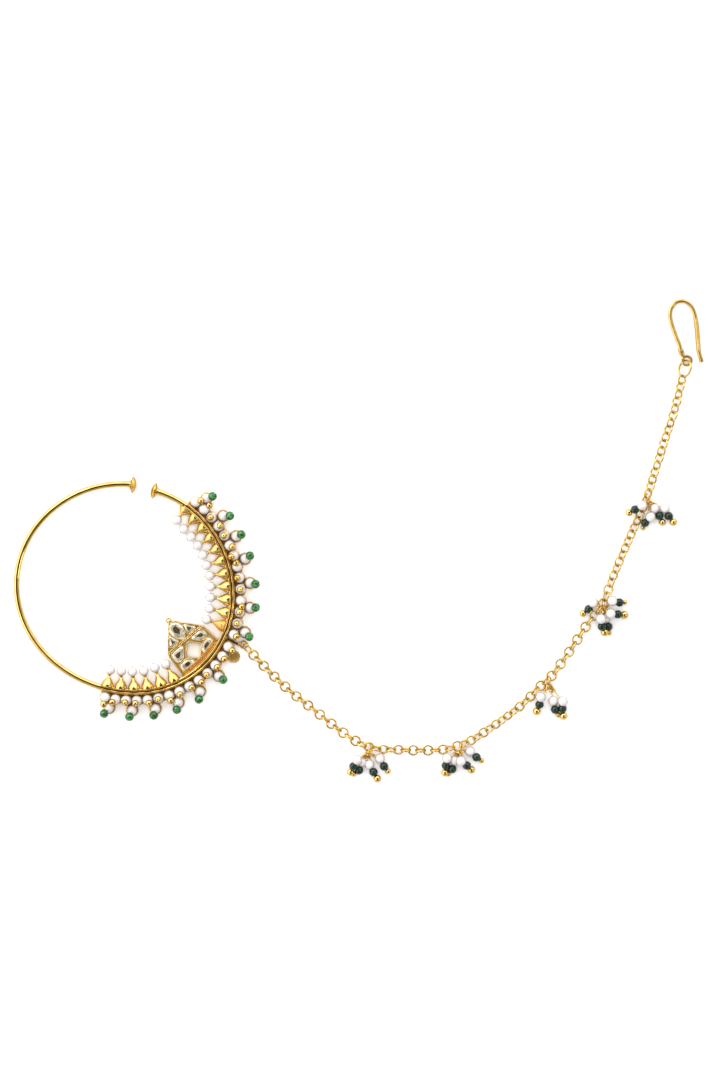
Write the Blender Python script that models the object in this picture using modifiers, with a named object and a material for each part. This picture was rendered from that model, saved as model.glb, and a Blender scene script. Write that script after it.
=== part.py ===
"""A nath: a bridal nose ring with a pearl border, a kundan plaque and a hair chain, lying flat.

Units are metres and degrees, +Z is up and the floor is at zero. The hoop lies level on its two end caps
and on the strip under its decorated band. Everything is measured from the hoop's centre, and the whole
is moved at the end so that the origin is the middle of its underside.
"""

import math

import bmesh
import bpy
from mathutils import Matrix, Vector

MM = 0.001

# General clearances, and the distance within which points are welded
FIT_GAP = 0.12 * MM
LINK_GAP = 0.18 * MM
WELD = 0.001 * MM

# Hoop, bent by hand: a circle with a slight oval and a slight three-cornered lobe
HOOP_RADIUS = 26.4 * MM
HOOP_OVAL = 0.86 * MM
HOOP_OVAL_ANGLE = -28.0
HOOP_LOBE = 0.26 * MM
HOOP_LOBE_ANGLE = -49.6
HOOP_WIRE = 1.4 * MM
HOOP_LEFT_END = 85.6
HOOP_RIGHT_END = 73.4
HOOP_PINCH = 0.4 * MM
HOOP_PINCH_ARC = 40.0
HOOP_POINTS = 48

# End caps at the opening
CAP_DIAMETER = 4.1 * MM
CAP_THICKNESS = 1.5 * MM
CAP_STEPS = 12

# Decorated band: a strip on edge under the wire and two thin rails on top of it
BAND_START = 54.0
BAND_END = -103.5
STRIP_WIDTH = 0.9 * MM
RAIL_WIRE = 0.62 * MM
RAIL_SPREAD = 0.84 * MM
RAIL_SEAT = 0.8
RAIL_POINTS = 25

# Inward spikes, each with a pearl on its tip
SPIKE_PEARL = 2.4 * MM
SPIKE_LENGTH = 5.0 * MM
SPIKE_BASE = 3.0 * MM
SPIKE_STEPS = 8
UPPER_SPIKE_START = 52.65
UPPER_SPIKE_PITCH = 7.35
LOWER_SPIKE_START = -100.3
LOWER_SPIKE_PITCH = 7.7

# Border: a scalloped back plate with two rows of pearls and the green beads
PLATE_THICKNESS = 0.6 * MM
PLATE_REACH = 3.4 * MM
PLATE_INNER_POINTS = 18
SCALLOP_DEPTH = 0.45 * MM
BORDER_PEARL = 2.65 * MM
BORDER_OFFSET = 2.17 * MM
BORDER_PAIRS = 7
UPPER_BORDER_START = 50.8
UPPER_BORDER_PITCH = 5.68
LOWER_BORDER_START = -29.5
LOWER_BORDER_PITCH = 5.46
PETAL_DIAMETER = 2.7 * MM
PETAL_LAP = 0.1 * MM
PETAL_THICKNESS = 0.54 * MM
OUTER_PEARL = 2.5 * MM
PEARL_SINK = 0.15 * MM
GREEN_BEAD = 2.2 * MM
GREEN_REACH = 1.45 * MM

# Kundan plaque, measured along its axis from the band and sideways from the axis
PLAQUE_ANGLE = -42.9
PLAQUE_OFFSET = -1.45 * MM
PLAQUE_TURN = -6.9
PLAQUE_HEIGHT = 12.6 * MM
PLAQUE_GAP = 0.236 * MM
PLAQUE_SLANT = 0.12
PLAQUE_FOOT_ARC = 28.0
PLAQUE_FOOT_POINTS = 7
PLAQUE_THICKNESS = 1.9 * MM
PLAQUE_DROP = 1.35 * MM
PLAQUE_FLOOR = 0.4 * MM
CELL_CUT = 0.2
STONE_RISE = 0.15 * MM
STONE_CROWN = 0.4 * MM
STONE_BEVEL = 0.42 * MM

# Eyelet that carries the chain
EYELET_ANGLE = -25.4
EYELET_OFFSET = 5.5 * MM
EYELET_DIAMETER = 2.15 * MM
EYELET_WIRE = 0.45 * MM
EYELET_HEIGHT = 1.0 * MM
EYELET_BAR = 0.7 * MM
EYELET_BAR_ANGLE = -26.4
EYELET_BAR_BOTTOM = 0.15 * MM
EYELET_BAR_TOP = 0.8 * MM
EYELET_POST = 0.9 * MM
EYELET_SEAT = 0.8

# Jump ring at each end of the chain
HOOP_RING_TILT = 50.0
HOOP_RING_LENGTH = 3.2 * MM
HOOP_RING_WIDTH = 2.4 * MM
HOOP_RING_WIRE = 0.4 * MM
HOOP_RING_BEARING = -46.5
HOOK_RING_TILT = 45.0
HOOK_RING_LENGTH = 4.7 * MM
HOOK_RING_WIDTH = 4.25 * MM
HOOK_RING_WIRE = 0.5 * MM
HOOK_RING_BEARING = 76.3

# Chain
CHAIN_DIAMETER = 1.8 * MM
CHAIN_HEIGHT = 1.5 * MM
CHAIN_POINTS = 46

# Drops on the chain
DROP_GAP = 0.24 * MM
STRAND_PEARL = 2.5 * MM
STRAND_GREEN = 2.0 * MM
STRAND_WIRE = 0.35 * MM
STRAND_NEST = 0.95
STRAND_SLOPE = 30.0
GREEN_ROLL = 12.0

# Hair hook
HOOK_WIRE = 1.0 * MM
HOOK_EYE_WIRE = 0.8 * MM
HOOK_EYE_DIAMETER = 3.0 * MM
HOOK_EYE_HEIGHT = 1.65 * MM
HOOK_POINTS = 30

# Round pieces
PEARL_SIDES = 10
PEARL_RINGS = 4
DISC_SIDES = 12
RING_POINTS = 16
ROD_SIDES = 6

# How far each spike's pearl stands in from the band, in spike lengths
UPPER_SPIKE_REACH = (0.84, 0.97, 0.96, 0.96, 0.96, 1.0, 1.0, 1.05, 1.08, 1.07, 1.09)
LOWER_SPIKE_REACH = (0.95, 1.01, 1.02, 1.03, 1.09, 1.09)

# A spike's outline: (share of the way from band to pearl, share of the half base)
SPIKE_PROFILE = ((1.0, 0.17), (0.82, 0.25), (0.5, 0.68), (-0.1, 1.0))

# A cap's outline: (share of its radius, share of its thickness from the wire side)
CAP_PROFILE = ((0.34, 1.0), (0.80, 0.80), (1.0, 0.45), (0.93, 0.27), (0.45, 0.0))

# How far each green bead leans along the border, in bead diameters, anticlockwise
UPPER_GREEN_LEAN = (-0.4, -0.5, -0.1, 0.2, -0.15, 0.15, -0.25)
LOWER_GREEN_LEAN = (0.0, 0.1, -0.55, -0.45, -0.3, -0.25, -0.4)
BARE_PETAL = 0

# Half the plaque's outline: (share of its height, share of its half width)
PLAQUE_EDGE = (
    (1.0, 0.0),
    (0.97, 0.08),
    (0.90, 0.16),
    (0.83, 0.31),
    (0.71, 0.57),
    (0.60, 0.76),
    (0.51, 0.92),
    (0.44, 0.98),
    (0.28, 1.0),
    (0.05, 1.05),
)

# Corners of the plaque's cells: (share of its height, share of its half width)
APEX_CELL = (
    (0.925, 0.0),
    (0.90, 0.17),
    (0.82, 0.27),
    (0.70, 0.27),
    (0.58, 0.13),
    (0.52, 0.0),
    (0.58, -0.13),
    (0.70, -0.27),
    (0.82, -0.27),
    (0.90, -0.17),
)
SIDE_CELL = ((0.775, 0.37), (0.60, 0.66), (0.545, 0.66), (0.545, 0.235), (0.62, 0.28))
PETAL_CELL = ((0.455, 0.19), (0.455, 0.80), (0.36, 0.87), (0.265, 0.84), (0.25, 0.55))
FOOT_CELL = ((0.205, 0.85), (0.05, 0.88), (0.03, 0.30), (0.11, 0.27), (0.205, 0.48))
HOLE_CELL = ((0.425, 0.0), (0.23, 0.41), (0.03, 0.0), (0.23, -0.41))

# Route of the chain over the floor, in millimetres from its end at the hoop
CHAIN_ROUTE = (
    (0.0, 0.0),
    (4.2, -4.4),
    (9.8, -9.6),
    (15.9, -14.4),
    (22.0, -19.2),
    (26.8, -22.3),
    (30.6, -23.6),
    (35.0, -23.9),
    (42.0, -24.1),
    (47.5, -23.9),
    (51.2, -23.0),
    (54.9, -21.5),
    (58.0, -19.5),
    (61.4, -17.2),
    (66.0, -13.8),
    (68.9, -11.2),
    (71.5, -8.4),
    (74.6, -5.7),
    (79.0, 0.3),
    (83.3, 6.8),
    (85.6, 9.8),
    (87.5, 12.3),
    (88.7, 15.4),
    (90.6, 20.4),
    (94.5, 29.5),
    (98.0, 37.5),
    (100.7, 45.8),
    (103.0, 53.2),
    (105.4, 60.5),
    (107.5, 68.9),
)

# Drops: the place of each ring on the chain as a share of its length, and its strands.
# A strand is (bearing of its pearl from the ring, its reach in pearl diameters, bearing of the
# green bead from the pearl, lift of the pearl off the floor in pearl diameters).
DROPS = (
    (
        0.220,
        (
            (-136, 1.77, -119, 0.85),
            (-118, 1.70, -109, 0.0),
            (-92, 1.75, -61, 0.0),
            (-49, 1.54, -62, 0.0),
        ),
    ),
    (
        0.354,
        (
            (-136, 1.93, -98, 0.56),
            (-111, 1.72, -105, 0.0),
            (-90, 1.60, -39, 0.8),
            (-36, 1.16, -42, 0.0),
        ),
    ),
    (
        0.516,
        (
            (-115, 2.02, -97, 0.6),
            (-79, 2.29, -78, 0.0),
            (-59, 2.62, -90, 0.5),
        ),
    ),
    (
        0.652,
        (
            (179, 1.02, -124, 0.4),
            (13, 0.88, -11, 0.7),
            (-57, 1.27, -5, 0.85),
            (-100, 1.61, -82, 0.95),
            (-81, 1.56, -71, 0.0),
        ),
    ),
    (
        0.821,
        (
            (-122, 1.14, -149, 1.05),
            (-60, 1.46, -55, 0.0),
            (-35, 2.16, -62, 0.0),
            (-82, 2.13, -131, 0.55),
        ),
    ),
)

# Centre line of the hook's wire: millimetres from the middle of its eye, and its height above
# the floor as a share of the way from the resting wire up to the eye
HOOK_ROUTE = (
    (-1.5, 2.0, 1.0),
    (-1.8, 3.8, 0.85),
    (-2.5, 5.6, 0.7),
    (-3.3, 7.9, 0.5),
    (-3.9, 10.0, 0.3),
    (-4.1, 11.7, 0.15),
    (-3.7, 13.3, 0.0),
    (-2.6, 14.6, 0.0),
    (-1.1, 15.0, 0.0),
    (0.4, 14.5, 0.0),
    (1.5, 13.2, 0.0),
    (2.2, 11.2, 0.0),
    (2.6, 8.7, 0.0),
    (2.8, 6.2, 0.0),
    (3.0, 4.0, 0.0),
    (3.15, 2.2, 0.0),
    (3.9, -0.3, 0.0),
)

# Values that follow from the sizes
HOOP_HEIGHT = CAP_DIAMETER / 2
RAIL_HEIGHT = HOOP_HEIGHT + RAIL_SEAT * HOOP_WIRE / 2
PLAQUE_BOTTOM = HOOP_HEIGHT - PLAQUE_DROP
PLATE_INNER = STRIP_WIDTH / 2 + FIT_GAP
PETAL_OFFSET = PLATE_REACH + PETAL_DIAMETER / 2 - PETAL_LAP
DIVIDER_SHARE = 0.48


def clear_scene():
    for item in list(bpy.data.objects):
        bpy.data.objects.remove(item, do_unlink=True)


def make_material(name, color, metallic, roughness):
    material = bpy.data.materials.new(name)
    material.use_nodes = True
    shader = material.node_tree.nodes["Principled BSDF"]
    shader.inputs["Base Color"].default_value = (*color, 1.0)
    shader.inputs["Metallic"].default_value = metallic
    shader.inputs["Roughness"].default_value = roughness
    return material


def new_object(name, mesh, material=None, smooth_angle=40.0):
    """Puts a mesh in the part's collection, shaded smooth apart from its sharp edges."""
    mesh.name = name
    if material:
        mesh.materials.clear()
        mesh.materials.append(material)
    mesh.shade_smooth()
    mesh.set_sharp_from_angle(angle=math.radians(smooth_angle))
    item = bpy.data.objects.new(name, mesh)
    PART.objects.link(item)
    return item


def evaluated_mesh(item):
    """The object's mesh with its modifiers or its curve bevel applied, welded, in world space."""
    bpy.context.view_layer.update()
    graph = bpy.context.evaluated_depsgraph_get()
    mesh = bpy.data.meshes.new_from_object(item.evaluated_get(graph))
    work = bmesh.new()
    work.from_mesh(mesh)
    work.transform(item.matrix_world)
    bmesh.ops.remove_doubles(work, verts=work.verts, dist=WELD)
    bmesh.ops.recalc_face_normals(work, faces=work.faces)
    work.to_mesh(mesh)
    work.free()
    bpy.data.objects.remove(item, do_unlink=True)
    return mesh


def helper(name, mesh):
    """An object outside the part, used only to shape it."""
    item = bpy.data.objects.new(name, mesh)
    item.hide_render = True
    item.display_type = "WIRE"
    TOOLS.objects.link(item)
    return item


def combine(base, others, operation):
    """The mesh of base with the other meshes joined to it or cut from it."""
    body = helper("body", base)
    group = bpy.data.collections.new("group")
    TOOLS.children.link(group)
    for index, mesh in enumerate(others):
        item = helper(f"piece_{index}", mesh)
        TOOLS.objects.unlink(item)
        group.objects.link(item)
    boolean = body.modifiers.new("boolean", "BOOLEAN")
    boolean.operation = operation
    boolean.solver = "EXACT"
    boolean.operand_type = "COLLECTION"
    boolean.collection = group
    made = evaluated_mesh(body)
    for item in list(group.objects):
        bpy.data.objects.remove(item, do_unlink=True)
    bpy.data.collections.remove(group)
    return made


def bmesh_to_mesh(work, name):
    mesh = bpy.data.meshes.new(name)
    work.to_mesh(mesh)
    work.free()
    return mesh


def ball(diameter, centre=(0.0, 0.0, 0.0), hole=(0.0, 0.0, 1.0), roll=0.0):
    """A bead whose poles lie along its hole."""
    turn = Vector(hole).to_track_quat("Z", "Y").to_matrix().to_4x4()
    roll_turn = Matrix.Rotation(math.radians(roll), 4, "Z")
    work = bmesh.new()
    bmesh.ops.create_uvsphere(
        work,
        u_segments=PEARL_SIDES,
        v_segments=PEARL_RINGS,
        radius=diameter / 2,
        matrix=Matrix.Translation(centre) @ turn @ roll_turn,
    )
    return bmesh_to_mesh(work, "ball")


def disc(diameter, bottom, top, centre):
    work = bmesh.new()
    bmesh.ops.create_cone(
        work,
        cap_ends=True,
        segments=DISC_SIDES,
        radius1=diameter / 2,
        radius2=diameter / 2,
        depth=top - bottom,
        matrix=Matrix.Translation((centre.x, centre.y, (bottom + top) / 2)),
    )
    return bmesh_to_mesh(work, "disc")


def rod(start, end, diameter):
    """A straight round rod between two points."""
    line = end - start
    turn = line.to_track_quat("Z", "Y").to_matrix().to_4x4()
    work = bmesh.new()
    bmesh.ops.create_cone(
        work,
        cap_ends=True,
        segments=ROD_SIDES,
        radius1=diameter / 2,
        radius2=diameter / 2,
        depth=line.length,
        matrix=Matrix.Translation((start + end) / 2) @ turn,
    )
    return bmesh_to_mesh(work, "rod")


def wire(points, diameter, closed=False, fine=True):
    """A wire along a list of points, with 8 sides where fine and otherwise 6."""
    curve = bpy.data.curves.new("wire", "CURVE")
    curve.dimensions = "3D"
    curve.bevel_depth = diameter / 2
    curve.bevel_resolution = 2 if fine else 1
    curve.use_fill_caps = True
    spline = curve.splines.new("POLY")
    spline.points.add(len(points) - 1)
    for place, point in zip(spline.points, points):
        place.co = (*point, 1.0)
    spline.use_cyclic_u = closed
    item = bpy.data.objects.new("wire", curve)
    TOOLS.objects.link(item)
    return evaluated_mesh(item)


def plate(outline, bottom, top):
    """A flat piece with the given outline between two heights."""
    curve = bpy.data.curves.new("plate", "CURVE")
    curve.dimensions = "2D"
    curve.fill_mode = "BOTH"
    curve.extrude = (top - bottom) / 2
    spline = curve.splines.new("POLY")
    spline.points.add(len(outline) - 1)
    for place, point in zip(spline.points, outline):
        place.co = (point.x, point.y, 0.0, 1.0)
    spline.use_cyclic_u = True
    item = bpy.data.objects.new("plate", curve)
    item.location.z = (bottom + top) / 2
    TOOLS.objects.link(item)
    return evaluated_mesh(item)


def turned(profile, steps, matrix):
    """A solid turned round Z from (radius, height) points, top to bottom, then placed by a matrix."""
    work = bmesh.new()
    points = [(0.0, profile[0][1]), *profile, (0.0, profile[-1][1])]
    corners = [work.verts.new((radius, 0.0, height)) for radius, height in points]
    for first, second in zip(corners, corners[1:]):
        work.edges.new((first, second))
    item = bpy.data.objects.new("turned", bmesh_to_mesh(work, "turned"))
    TOOLS.objects.link(item)
    screw = item.modifiers.new("turn", "SCREW")
    screw.axis = "Z"
    screw.steps = steps
    screw.render_steps = steps
    screw.use_merge_vertices = True
    screw.merge_threshold = WELD
    item.matrix_world = matrix
    return evaluated_mesh(item)


def ring(length, width, wire_diameter, matrix):
    """A closed oval ring in the XY plane of a matrix, long along its X, with outer sizes."""
    points = []
    for index in range(RING_POINTS):
        turn = 2 * math.pi * index / RING_POINTS
        along = (length - wire_diameter) / 2 * math.cos(turn)
        across = (width - wire_diameter) / 2 * math.sin(turn)
        points.append(matrix @ Vector((along, across, 0.0)))
    return wire(points, wire_diameter, closed=True, fine=False)


def direction(bearing):
    angle = math.radians(bearing)
    return Vector((math.cos(angle), math.sin(angle), 0.0))


def frame_at(centre, x_axis, z_axis):
    """A matrix at a point with the given X axis and, as near as it can be, the given Z axis."""
    x_axis = x_axis.normalized()
    y_axis = z_axis.cross(x_axis).normalized()
    z_axis = x_axis.cross(y_axis)
    turn = Matrix((x_axis, y_axis, z_axis)).transposed().to_4x4()
    return Matrix.Translation(centre) @ turn


def hoop_radius(angle):
    """Radius of the wire's centre line at an angle. The right end is pinched in a little."""
    angle = (angle + 180.0) % 360.0 - 180.0
    oval = HOOP_OVAL * math.cos(2 * math.radians(angle - HOOP_OVAL_ANGLE))
    lobe = HOOP_LOBE * math.cos(3 * math.radians(angle - HOOP_LOBE_ANGLE))
    middle_of_gap = (HOOP_LEFT_END + HOOP_RIGHT_END) / 2
    near_end = 0.0
    if angle < middle_of_gap:
        near_end = max(0.0, 1.0 - (HOOP_RIGHT_END - angle) / HOOP_PINCH_ARC)
    return HOOP_RADIUS + oval + lobe - HOOP_PINCH * near_end**2


def hoop_point(angle, outward=0.0, height=0.0):
    """A point measured from the wire's centre line, outward along the radius."""
    point = (hoop_radius(angle) + outward) * direction(angle)
    point.z = height
    return point


def hoop_arc(start, end, count, outward=0.0, height=0.0):
    step = (end - start) / (count - 1)
    return [hoop_point(start + step * i, outward, height) for i in range(count)]


def hoop_tangent(angle):
    """The way round the hoop at an angle, anticlockwise."""
    return (hoop_point(angle + 0.5) - hoop_point(angle - 0.5)).normalized()


def smooth_line(points, samples=10):
    """A fine line through the points, bent evenly at each."""
    ends = [2 * points[0] - points[1], *points, 2 * points[-1] - points[-2]]
    line = []
    for before, start, end, after in zip(ends, ends[1:], ends[2:], ends[3:]):
        for index in range(samples):
            t = index / samples
            a = 2 * start
            b = (end - before) * t
            c = (2 * before - 5 * start + 4 * end - after) * t**2
            d = (3 * start - before - 3 * end + after) * t**3
            line.append((a + b + c + d) / 2)
    line.append(points[-1].copy())
    return line


def station(line, share):
    """The point and the direction at a share of a line's length."""
    pieces = [second - first for first, second in zip(line, line[1:])]
    left = share * sum(piece.length for piece in pieces)
    for start, piece in zip(line, pieces):
        if left <= piece.length:
            break
        left -= piece.length
    else:
        left = piece.length
    return start + piece.normalized() * left, piece.normalized()


def even_points(line, count):
    return [station(line, index / (count - 1))[0] for index in range(count)]


def plaque_place():
    """The middle of the plaque's foot, the way along its axis and the way aside."""
    axis = direction(PLAQUE_ANGLE + 180.0 + PLAQUE_TURN)
    side = Vector((axis.y, -axis.x, 0.0))
    return hoop_point(PLAQUE_ANGLE, PLAQUE_OFFSET), axis, side


def plaque_half_width():
    """Half the plaque's width, which fills the room up to the nearer of the next two pearls."""
    foot, _, side = plaque_place()
    neighbours = [spikes()[len(UPPER_SPIKE_REACH) - 1], spikes()[-1]]
    rooms = [abs((hoop_point(angle, -reach) - foot).dot(side)) for angle, reach in neighbours]
    return min(rooms) - SPIKE_PEARL / 2 - PLAQUE_GAP


def plaque_point(along, aside):
    """A point of the plaque. Its foot leans a little so that it stays level with the band."""
    foot, axis, side = plaque_place()
    lean = PLAQUE_SLANT * max(0.0, 1.0 - along / DIVIDER_SHARE)
    sideways = aside * plaque_half_width()
    inward = along * PLAQUE_HEIGHT + lean * sideways
    return foot + inward * axis + sideways * side


def cell_outline(corners, flip, growth):
    """A cell's outline with its corners cut, grown outward by a distance."""
    points = [plaque_point(along, -aside if flip else aside) for along, aside in corners]
    rounded = []
    if len(points) < 8:
        for index, point in enumerate(points):
            before = points[index - 1]
            after = points[(index + 1) % len(points)]
            rounded += [point.lerp(before, CELL_CUT), point.lerp(after, CELL_CUT)]
    else:
        rounded = points
    area = sum(a.x * b.y - b.x * a.y for a, b in zip(rounded, rounded[1:] + rounded[:1]))
    if area < 0:
        rounded.reverse()
    return moved_outline(rounded, growth)


def moved_outline(outline, distance):
    """An anticlockwise outline with every side moved outward by the same distance."""
    made = []
    for index, point in enumerate(outline):
        arriving = (point - outline[index - 1]).normalized()
        leaving = (outline[(index + 1) % len(outline)] - point).normalized()
        first = Vector((arriving.y, -arriving.x, 0.0))
        second = Vector((leaving.y, -leaving.x, 0.0))
        made.append(point + (first + second) * (distance / (1.0 + first.dot(second))))
    return made


def stone(outline, bottom, girdle, top, bevel):
    """A flat-backed stone: straight sides, one row of crown facets and a flat table."""
    work = bmesh.new()
    face = work.faces.new([work.verts.new((p.x, p.y, bottom)) for p in outline])
    sides = bmesh.ops.extrude_face_region(work, geom=[face])
    rim = [item for item in sides["geom"] if isinstance(item, bmesh.types.BMVert)]
    bmesh.ops.translate(work, verts=rim, vec=(0.0, 0.0, girdle - bottom))
    table = [item for item in sides["geom"] if isinstance(item, bmesh.types.BMFace)][0]
    crown = bmesh.ops.extrude_face_region(work, geom=[table])
    corners = [item for item in crown["geom"] if isinstance(item, bmesh.types.BMVert)]
    inner = moved_outline(outline, -bevel)
    for corner in corners:
        nearest = min(range(len(outline)), key=lambda i: (outline[i].xy - corner.co.xy).length)
        corner.co = Vector((inner[nearest].x, inner[nearest].y, top))
    bmesh.ops.delete(work, geom=[table], context="FACES_ONLY")
    bmesh.ops.recalc_face_normals(work, faces=work.faces)
    return bmesh_to_mesh(work, "stone")


def plaque_cells():
    """Every stone's cell as (name, corners, mirrored)."""
    cells = [("polki_apex", APEX_CELL, False)]
    cells += [(f"polki_side_{i + 1}", SIDE_CELL, i == 1) for i in range(2)]
    cells += [(f"polki_petal_{i + 1}", PETAL_CELL, i == 1) for i in range(2)]
    cells += [(f"polki_petal_{i + 3}", FOOT_CELL, i == 1) for i in range(2)]
    return cells


def make_plaque():
    """The plaque's gold: a slab with a pocket for each stone and the open diamond."""
    side = [plaque_point(along, aside) for along, aside in PLAQUE_EDGE]
    other = [plaque_point(along, -aside) for along, aside in PLAQUE_EDGE[:0:-1]]
    half_foot = PLAQUE_FOOT_ARC / 2
    foot = hoop_arc(PLAQUE_ANGLE + half_foot, PLAQUE_ANGLE - half_foot, PLAQUE_FOOT_POINTS)
    top = PLAQUE_BOTTOM + PLAQUE_THICKNESS
    slab = plate(side + foot + other, PLAQUE_BOTTOM, top)
    pocket_floor = PLAQUE_BOTTOM + PLAQUE_FLOOR
    above = top + PLAQUE_THICKNESS
    cutters = []
    for _, corners, flip in plaque_cells():
        cutters.append(plate(cell_outline(corners, flip, FIT_GAP), pocket_floor, above))
    below = PLAQUE_BOTTOM - PLAQUE_THICKNESS
    cutters.append(plate(cell_outline(HOLE_CELL, False, 0.0), below, above))
    return combine(slab, cutters, "DIFFERENCE")


def make_stones(material):
    bottom = PLAQUE_BOTTOM + PLAQUE_FLOOR + FIT_GAP
    top = PLAQUE_BOTTOM + PLAQUE_THICKNESS + STONE_RISE
    for name, corners, flip in plaque_cells():
        outline = cell_outline(corners, flip, 0.0)
        mesh = stone(outline, bottom, top - STONE_CROWN, top, STONE_BEVEL)
        new_object(name, mesh, material, smooth_angle=5.0)


def make_cap(angle, toward):
    """A domed cap on the wire's end, its dome facing the gap."""
    out = toward * hoop_tangent(angle)
    turn = out.to_track_quat("Z", "Y").to_matrix().to_4x4()
    matrix = Matrix.Translation(hoop_point(angle, 0.0, HOOP_HEIGHT)) @ turn
    profile = [(r * CAP_DIAMETER / 2, (h - 0.5) * CAP_THICKNESS) for r, h in CAP_PROFILE]
    return turned(profile, CAP_STEPS, matrix)


def spikes():
    """Every spike as (angle, reach of its pearl's centre inward from the wire's centre line)."""
    upper = [
        (UPPER_SPIKE_START - UPPER_SPIKE_PITCH * i, reach * SPIKE_LENGTH)
        for i, reach in enumerate(UPPER_SPIKE_REACH)
    ]
    lower = [
        (LOWER_SPIKE_START + LOWER_SPIKE_PITCH * i, reach * SPIKE_LENGTH)
        for i, reach in enumerate(LOWER_SPIKE_REACH)
    ]
    return upper + lower


def make_spike(angle, reach):
    """A bell-shaped spike from the band to just short of its pearl."""
    length = reach - HOOP_WIRE / 2 - SPIKE_PEARL / 2 - FIT_GAP
    turn = direction(angle + 180.0).to_track_quat("Z", "Y").to_matrix().to_4x4()
    base = hoop_point(angle, -HOOP_WIRE / 2, HOOP_HEIGHT)
    profile = [(r * SPIKE_BASE / 2, share * length) for share, r in SPIKE_PROFILE]
    return turned(profile, SPIKE_STEPS, Matrix.Translation(base) @ turn)


def make_spike_pearls(material):
    mesh = ball(SPIKE_PEARL)
    for number, (angle, reach) in enumerate(spikes(), 1):
        pearl = new_object(f"spike_pearl_{number:02d}", mesh.copy(), material)
        pearl.location = hoop_point(angle, -reach, HOOP_HEIGHT)
        pearl.rotation_euler.z = math.radians(angle)
        pearl.parent = ROOT


def eyelet_centre():
    return hoop_point(EYELET_ANGLE, EYELET_OFFSET, EYELET_HEIGHT)


def make_eyelet():
    """The bar, the post and the level eye that hold the chain's jump ring."""
    side = hoop_tangent(EYELET_BAR_ANGLE) * (EYELET_BAR / 2)
    post_offset = EYELET_OFFSET - EYELET_DIAMETER / 2
    start = hoop_point(EYELET_BAR_ANGLE)
    end = hoop_point(EYELET_BAR_ANGLE, post_offset)
    outline = [start - side, end - side, end + side, start + side]
    bar = plate(outline, EYELET_BAR_BOTTOM, EYELET_BAR_TOP)
    post_angle = (EYELET_ANGLE + EYELET_BAR_ANGLE) / 2
    post_top = EYELET_HEIGHT + EYELET_SEAT * EYELET_WIRE / 2
    post = disc(EYELET_POST, 0.0, post_top, hoop_point(post_angle, post_offset))
    level = Matrix.Translation(eyelet_centre())
    eye = ring(EYELET_DIAMETER, EYELET_DIAMETER, EYELET_WIRE, level)
    return [bar, post, eye]


def make_hoop_frame(material):
    turn = HOOP_RIGHT_END + 360.0
    hoop = wire(hoop_arc(HOOP_LEFT_END, turn, HOOP_POINTS, 0.0, HOOP_HEIGHT), HOOP_WIRE)
    half = STRIP_WIDTH / 2
    inner = hoop_arc(BAND_START, BAND_END, RAIL_POINTS, -half)
    outer = hoop_arc(BAND_END, BAND_START, RAIL_POINTS, half)
    pieces = [plate(inner + outer, 0.0, HOOP_HEIGHT)]
    for side in (-0.5, 0.5):
        offset = side * RAIL_SPREAD
        line = hoop_arc(BAND_START - side, BAND_END + side, RAIL_POINTS, offset, RAIL_HEIGHT)
        pieces.append(wire(line, RAIL_WIRE, fine=False))
    pieces.append(make_cap(HOOP_LEFT_END, -1.0))
    pieces.append(make_cap(HOOP_RIGHT_END, 1.0))
    pieces += [make_spike(angle, reach) for angle, reach in spikes()]
    pieces.append(make_plaque())
    pieces += make_eyelet()
    new_object("hoop_frame", combine(hoop, pieces, "UNION"), material)


def border_side(start, pitch):
    """One side of the border as its first-row angles and its petals' angles, one to each pair."""
    first = [start - pitch * i for i in range(2 * BORDER_PAIRS)]
    petals = [(first[2 * i] + first[2 * i + 1]) / 2 for i in range(BORDER_PAIRS)]
    return first, petals


def make_back_plate(petals, start, end):
    """The scalloped strip between two angles, widest under each pair of pearls."""
    step = (petals[0] - petals[1]) / 4
    outer = [hoop_point(start, PLATE_REACH - SCALLOP_DEPTH)]
    for angle in petals:
        for turn in (1, 0, -1):
            place = angle + turn * step
            if end < place < start:
                outer.append(hoop_point(place, PLATE_REACH))
        valley = angle - 2 * step
        if end < valley < start and angle != petals[-1]:
            outer.append(hoop_point(valley, PLATE_REACH - SCALLOP_DEPTH))
    outer.append(hoop_point(end, PLATE_REACH - SCALLOP_DEPTH))
    inner = hoop_arc(end, start, PLATE_INNER_POINTS, PLATE_INNER)
    return plate(outer + inner, 0.0, PLATE_THICKNESS)


def outer_pearl_centre(angle):
    height = PLATE_THICKNESS - PEARL_SINK + OUTER_PEARL / 2
    return hoop_point(angle, PETAL_OFFSET, height)


def make_border(name, first, petals, start, end, bare, material):
    """Back plate, petals and both rows of pearls on one side of the chain's eyelet, as one body."""
    body = make_back_plate(petals, start, end)
    pieces = []
    pearl_height = PLATE_THICKNESS - PEARL_SINK + BORDER_PEARL / 2
    for angle in first:
        centre = hoop_point(angle, BORDER_OFFSET, pearl_height)
        pieces.append(ball(BORDER_PEARL, centre))
    for index, angle in enumerate(petals):
        spot = hoop_point(angle, PETAL_OFFSET)
        pieces.append(disc(PETAL_DIAMETER, 0.0, PETAL_THICKNESS, spot))
        if index != bare:
            pieces.append(ball(OUTER_PEARL, outer_pearl_centre(angle)))
    new_object(name, combine(body, pieces, "UNION"), material)


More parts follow.
